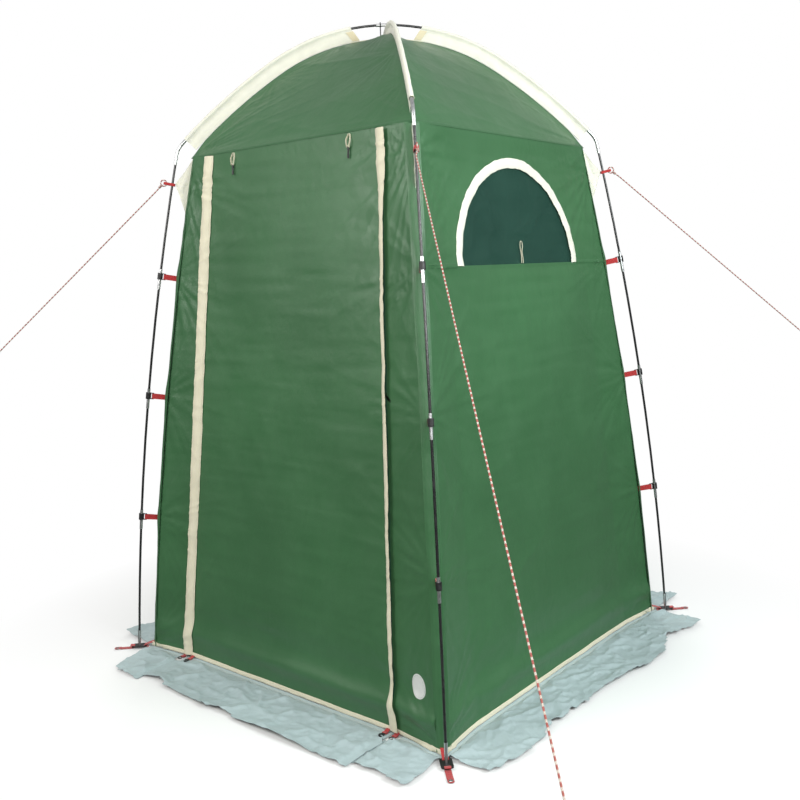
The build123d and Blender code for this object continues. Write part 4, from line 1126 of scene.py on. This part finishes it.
def skirt(name, side, x0, x1, slant, seed, notch=None, over=0.0):
    """Mud flap: crumpled cloth lying on the ground, torn off unevenly along its outer edge.

    slant moves its two ends along the wall at the outer edge; over spreads both ends past the hem."""
    piece = Piece("mud_flap_" + name)
    u = np.linspace(0, 1, int((x1 - x0) / 0.0055))[None, :]
    v = np.linspace(0, 1, 40)[:, None]
    x_mid = x0 + (x1 - x0) * u
    hem, _ = wall_line(x_mid[0], WALL_Z0, side)
    hem = -turned(hem, -90 * QUARTERS[side])[:, 1][None, :] + 0.0018
    ragged = 0.011 * noise(x_mid * 4.1, 0.2, seed) + 0.006 * noise(x_mid * 17, 0.7, seed)
    ragged += 0.0032 * noise(x_mid * 55, 3.1, seed)
    steps = np.floor(noise(x_mid * 5.3, 2.2, seed) * 3.4 + noise(x_mid * 31, 1.2, seed) * 0.5)
    outer = SKIRT_EDGE + np.clip(ragged + 0.0110 * steps, -0.046, 0.010)
    out = hem * (1 - v) + outer * v
    wander = 0.006 * v * noise(v * 5, 0.4, seed + 6) * (2 * np.abs(u - 0.5)) ** 4
    x = x_mid + v * (slant[0] * (1 - u) + slant[1] * u)
    x = x + 0.003 * v * noise(x_mid * 8, v * 3, seed + 1) + wander
    x += over * (2 * u - 1) ** 5 * ease((out - SKIRT_CLEAR) / 0.02)
    far = ease(v / 0.22)
    rise = 0.0050 * far * (1 + noise(x * 6, out * 8, seed + 2))
    rise += 0.0080 * far * creases(x * 9 + out * 4, out * 11 - x * 3, seed + 3)
    rise += 0.0060 * creases(x * 21 - out * 13, out * 23, seed + 4) * ease(v / 0.1)
    rise += 0.0028 * creases(x * 52 + out * 21, out * 49, seed + 7) * ease(v / 0.1)
    curl = 0.013 * ease((v - 0.70) / 0.30) * np.maximum(noise(x * 5.5, 0.9, seed + 5), 0)
    z = SKIRT_LOW + (rise + curl) * 0.85
    z = np.where(v < 0.10, SKIRT_LOW + 0.0024 * (1 - v / 0.10) ** 2, z)
    if side == "front":
        # low under the hooks and rings; past them the door's skirt laps over its neighbours
        z = np.where((np.abs(np.abs(x) - 0.458) < 0.034) & (out < SKIRT_CLEAR), np.minimum(z, 0.0030), z)
        beyond = ease((out - SKIRT_CLEAR) / 0.02)
        lap = ease((np.abs(x) - 0.440) / 0.012) * beyond if over else ease((0.484 - np.abs(x)) / 0.012)
        z = z * (1 - lap) + lap * (np.maximum(z * 0.5, 0.0062) if over else 0.0028)
    grid = turned(np.stack([x, -out, z], -1), 90 * QUARTERS[side])
    keep = None
    if notch:
        mid_x, mid_out = (x[:-1, :-1] + x[1:, 1:]) / 2, (out[:-1, :-1] + out[1:, 1:]) / 2
        keep = ~((np.abs(mid_x) < notch) & (mid_out < SKIRT_CLEAR - 0.003))[::-1]
    piece.sheet(grid[::-1], 0.0009, keep=keep)
    piece.stitches(grid[2] + UP * 0.0003, UP)
    return piece


def skirts():
    reach, end = (0.653, 0.663), 0.652

    def fold(piece, node):
        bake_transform(dressed(piece, ("grey_cloth", GREY, THREAD_CREAM), node))

    for side, node, slant, seed in (("window", "skirt_window_side", (0.0, -0.020), 91),
                                    ("back", "skirt_back", (-0.01, -0.015), 97),
                                    ("left", "skirt_left", (0.012, -0.02), 103)):
        fold(skirt(side, side, -end, end, slant, seed), node)
    start = ZIP_HALF[0] + 0.003
    right = skirt("front_right", "front", start, end, (0.0, 0.006), 109, notch=0.491)
    fold(right, "skirt_front_right")
    left = skirt("front_left", "front", -end, -start, (0.055, 0.0), 113, notch=0.491)
    fold(left, "skirt_front_left")
    door = skirt("door", "front", -start + 0.004, start - 0.004, (0.0, 0.0), 117, over=0.012)
    fold(door, "skirt_door")


# ---- window ----
def window_line(radius, angle):
    """Points on the window wall by radius and angle about the arch's centre."""
    return wall_line(radius * np.cos(angle), WINDOW_Z + radius * np.sin(angle) * LEAN_RISE, "window")


def window_sheet(name, radius, offset, wrinkle, seed):
    """Cloth that fills the arch, as rows from the sill up."""
    piece = Piece(name)
    top = WINDOW_Z + radius * LEAN_RISE
    z = np.linspace(WINDOW_Z + WINDOW_SILL, top - 0.0008, 56)[:, None]
    half = np.sqrt(np.maximum(radius**2 - ((z - WINDOW_Z) / LEAN_RISE) ** 2, 0))
    u = np.linspace(-1, 1, 91)[None, :]
    x = half * u
    line, out = wall_line(x, z, "window")
    away = np.minimum(half * (1 - np.abs(u)), z - WINDOW_Z - WINDOW_SILL)
    folds = creases(x * 5 + z * 3, z * 11 - x * 4, seed) + 0.6 * creases(x * 12 - z * 5, z * 17, seed + 1)
    relief = wrinkle * (folds - 0.6) * ease(away / 0.05) + wrinkle * 0.6 * noise(x * 6, z * 5, seed + 2)
    piece.sheet(line + out * (offset + relief)[..., None], 0.0005, uv=np.stack(together(x, z), 2))
    return piece


def window_cloths():
    """Net, and the flap behind it."""
    net = window_sheet("window_net_cloth", OPENING_R + 0.010, -0.0022, 0.0006, 120)
    on_tent(net, ("mesh_cloth", NET), "window_mesh")
    flap = window_sheet("window_flap_cloth", OPENING_R + 0.008, -0.0085, 0.0045, 124)
    low, _ = wall_line(0.0, WINDOW_Z + WINDOW_SILL, "window", -0.0075)
    high, _ = wall_line(0.0, WINDOW_Z + WINDOW_SILL + 0.010, "window", -0.0075)
    flap = dressed(flap, ("green_cloth", GREEN_INNER), "window_flap")
    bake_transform(flap)


def window_binding():
    piece = Piece("window_binding_cloth")
    start = asin(WINDOW_SILL / WINDOW_R)
    angle = np.linspace(start, pi - start, 190)[:, None]
    t = np.linspace(0, 1, 9)[None, :]
    wander = 0.0016 * noise(angle * 9, 0.3, 130) + 0.0010 * noise(angle * 24, t, 131)
    radius = OPENING_R + 0.001 + t * (BINDING_W - 0.002) + wander
    grid, out = window_line(radius, angle)
    lift = 0.0006 + 0.0022 * np.sin(pi * t) ** 0.5 + 0.0007 * noise(angle * 34, t * 3, 132) * np.sin(pi * t)
    grid += out * lift[..., None]
    piece.sheet(grid[:, ::-1], 0.0009)
    for column in (1, 7):
        piece.stitches(grid[:, column] + out[:, column] * 0.0002, out[:, column])
    on_tent(piece, PALE_SEWN, "window_binding")


def window_loop():
    piece = Piece("window_tie_loop")
    outline = smooth_path([(-0.004, 0.0), (-0.005, 0.030), (-0.012, 0.050), (-0.009, 0.066), (0.001, 0.066),
                           (0.003, 0.050), (-0.002, 0.034), (0.003, 0.020), (0.005, 0.0)], 70)
    line, out = wall_line(outline[:, 0], WINDOW_Z + WINDOW_SILL + 0.002 + outline[:, 1], "window")
    lift = 0.0025 + 0.004 * np.sin(np.linspace(0, pi, 70))
    piece.tube(line + out * lift[:, None], 0.0016, 8, lobes=2, twist=900.0, flat=0.7)
    on_tent(piece, ("cream_cloth", CREAM), "window_loop")


# ---- small door parts ----
def toggle_loops():
    """Two tapes down from the door's top seam to each toggle, joined by a thread bar."""
    piece = Piece("toggle_webbing")
    for sign in (-1, 1):
        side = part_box("door_toggle_right" if sign > 0 else "door_toggle_left")
        x = (side[0].x + side[1].x) / 2
        y_top, z_top = -0.4800, 1.6835
        y_low, z_low = side[0].y + 0.0040, side[1].z - 0.0030
        for spread in (-1, 1):
            pts = [(x + spread * 0.0025, y_top, z_top), (x + spread * 0.0065, y_top - 0.004, z_top - 0.012),
                   (x + spread * 0.0080, (y_top + y_low) / 2 - 0.003, (z_top + z_low) / 2),
                   (x + spread * 0.0045, y_low, z_low + 0.004), (x + spread * 0.0036, y_low, z_low - 0.002)]
            ribbon(piece, smooth_path(pts, 30), unit([0, -1.0, 0.2]), 0.0055, 0.0010, columns=3)
        bar = smooth_path([(x - 0.0046, y_low, z_low + 0.001), (x, y_low - 0.0035, z_low + 0.0025),
                           (x + 0.0046, y_low, z_low + 0.001)], 14)
        piece.tube(bar, 0.0012, 6)
    on_door(piece, ("cream_cloth", CREAM), "toggle_loops")


def hook_and_ring_tabs():
    """Webbing that holds the door's hooks and the wall's rings at the foot of the zips."""
    for name, node, body, at in (("hook_webbing", "door_hook_tabs", "door", 0.440),
                                 ("ring_webbing", "wall_ring_tabs", "tent", 0.476)):
        piece = Piece(name)
        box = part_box(node)
        for sign in (-1, 1):
            x, low, high = sign * at, box[0].y, box[1].y
            outline = [(high + 0.004, 0.0105), (high - 0.001, 0.0090), (high - 0.006, 0.0066),
                       (low + 0.004, 0.0062), (low - 0.0012, 0.0074), (low - 0.0022, 0.0060),
                       (low - 0.0012, 0.0042), (low + 0.005, 0.0043), (high - 0.005, 0.0043)]
            path = np.array([(x, y, z) for y, z in smooth_path(outline, 50)])
            ribbon(piece, path, ALONG, 0.014, 0.0012)
            for dy in (0.003, 0.006):
                line = np.array([(x + dx, low + 0.003 + dy, 0.0071) for dx in np.linspace(-0.006, 0.006, 8)])
                piece.stitches(line, UP, 0.0024, 0.0018)
        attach(dressed(piece, RED_SEWN, node), body)


PATCH_AT, PATCH_HALF = (0.552, 0.165), (0.027, 0.036)


def patch_at(r, angle):
    return PATCH_AT[0] + PATCH_HALF[0] * r * np.cos(angle), PATCH_AT[1] + PATCH_HALF[1] * r * np.sin(angle)


def patch():
    """Plain sewn patch on the right front strip."""
    piece = Piece("sewn_patch")
    t = np.linspace(0, 2 * pi, 49)[None, :]
    r = np.linspace(0.02, 1.0, 12)[:, None]
    x, z = patch_at(r, t)
    line, out = wall_line(x, z, "front")
    grid = line + out * (0.0010 - 0.0006 * ease((r - 0.93) / 0.07))[..., None]
    piece.sheet(grid[::-1], 0.0008, uv=np.stack([x, z], 2))
    piece.stitches(*wall_line(*patch_at(0.88, np.linspace(0, 2 * pi, 80)), "front", 0.0013))
    on_tent(piece, ("cream_cloth", PATCH, THREAD_GREEN))


def hang_strap():
    piece = Piece("hanging_webbing")
    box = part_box("hang_strap")
    low, high = box[0].z + 0.0007, box[1].z - 0.0007
    outline = [(0.0030, low + 0.003), (0.0030, high - 0.003), (0.0015, high), (-0.0015, high),
               (-0.0030, high - 0.003), (-0.0030, low + 0.003), (-0.0015, low), (0.0015, low)]
    path = np.array([(0, y, z) for y, z in smooth_path(outline, 60, closed=True)])
    ribbon(piece, path, ALONG, 0.012)
    on_tent(piece, RED_SEWN, "hang_strap")


# ---- carried-over parts ----
def finish_cad_nodes():
    finishes = {"pole_rods": ROD, "pole_ferrules": SILVER, "pole_elbows": SILVER, "pole_end_tips": SILVER,
                "shock_cords": ELASTIC, "peg_eyelets": ZINC, "window_zip_tape": ZIP}
    for name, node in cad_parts.items():
        material = finishes.get(name, BLACK)
        if name.startswith("peg_") and name != "peg_eyelets":
            material = ZINC
        if "zip_slider" in name:
            material = ZIP_BLACK
        node.data.materials.clear()
        node.data.materials.append(material)
        node.data.polygons.foreach_set("material_index", np.zeros(len(node.data.polygons), np.int32))


# ---- stage ----
def stage():
    """Pale floor that fades into a white background, and soft light that is strongest from above."""
    bpy.ops.mesh.primitive_plane_add(size=60, location=(0, 0, -0.0006))
    floor = bpy.context.object
    floor.name = "pale_floor"
    m = Material("pale_floor")
    m.set(Base_Color=(0.90, 0.91, 0.91, 1), Roughness=0.9, Specular_IOR_Level=0.1)
    white = m.node("ShaderNodeEmission", {"Color": (1, 1, 1, 1), "Strength": 1.0})
    dark = m.node("ShaderNodeBsdfDiffuse", {"Color": (0.12, 0.13, 0.12, 1)})
    centre = m.node("ShaderNodeVectorMath", {0: m.node("ShaderNodeNewGeometry").outputs["Position"]},
                    operation="LENGTH")
    away = m.remap(centre.outputs["Value"], 0.85, 1.6)
    seen = m.node("ShaderNodeMixShader", {"Fac": away, 1: m.shader.outputs[0], 2: white.outputs[0]})
    straight = m.node("ShaderNodeLightPath").outputs["Is Camera Ray"]
    shown = m.node("ShaderNodeMixShader", {"Fac": straight, 1: dark.outputs[0], 2: seen.outputs[0]})
    m.put(m.tree.nodes["Material Output"].inputs["Surface"], shown.outputs[0])
    floor.data.materials.append(m.material)
    world = bpy.data.worlds.new("studio")
    bpy.context.scene.world = world
    world.use_nodes = True
    w = Nodes(world.node_tree)
    height = w.node("ShaderNodeSeparateXYZ", {0: w.node("ShaderNodeTexCoord").outputs["Generated"]})
    glow = w.remap(height.outputs[2], -0.30, 0.70, 0.03, 0.46)
    straight = w.node("ShaderNodeLightPath").outputs["Is Camera Ray"]
    background = w.tree.nodes["Background"].inputs
    w.put(background[0], (1, 1, 1, 1))
    w.put(background[1], w.node("ShaderNodeMix", {0: straight, 2: glow, 3: 1.0}).outputs[0])
    lights = (("key", (3.1, -0.2, 2.30), (0.4, 0.1, 1.70), 1.5, 90),
              ("front", (-0.9, -3.2, 2.45), (-0.1, -0.4, 1.65), 1.7, 62),
              ("corner", (2.3, -2.6, 2.30), (0.4, -0.4, 1.30), 1.3, 52),
              ("rim", (-2.7, 3.3, 2.20), (0, 0, 1.2), 2.6, 95))
    for name, at, to, size, power in lights:
        data = bpy.data.lights.new(name, "AREA")
        data.energy, data.size = power, size
        data.color = (0.93, 1.0, 1.0) if name == "key" else (1.0, 0.985, 0.95)
        light = bpy.data.objects.new(name, data)
        light.location = at
        light.rotation_mode = "QUATERNION"
        light.rotation_quaternion = (Vector(to) - Vector(at)).to_track_quat("-Z", "Y")
        bpy.context.scene.collection.objects.link(light)


def camera():
    """The object's usual view: a standing eye off the front right corner, rolled a little."""
    data = bpy.data.cameras.new("view")
    data.lens, data.sensor_width = 41.9, 36.0
    data.clip_start = 0.05
    view = bpy.data.objects.new("view", data)
    bpy.context.scene.collection.objects.link(view)
    azimuth, elevation, roll = radians(39.968), radians(7.983), radians(-2.171)
    ahead = Vector((-sin(azimuth) * cos(elevation), cos(azimuth) * cos(elevation), -sin(elevation)))
    right = ahead.cross(Vector((0, 0, 1))).normalized()
    up = right.cross(ahead)
    right, up = right * cos(roll) + up * sin(roll), up * cos(roll) - right * sin(roll)
    turn = Matrix((right, up, -ahead)).transposed().to_4x4()
    view.matrix_world = Matrix.Translation((2.0867, -2.4918, 1.2969)) @ turn
    bpy.context.scene.camera = view


plain_wall("back", "wall_back")
plain_wall("left", "wall_left")
window_wall()
front_strips()
corner_bands()
roof_gores()
sleeves()
ridge_cords()
door_cloth()
storm_flaps()
zips()
clip_straps()
foot_webbing()
guy_loops()
guylines()
hems()
skirts()
window_cloths()
window_binding()
window_loop()
toggle_loops()
hook_and_ring_tabs()
patch()
hang_strap()
finish_cad_nodes()
stage()
camera()
bpy.context.scene.view_settings.view_transform = "Standard"
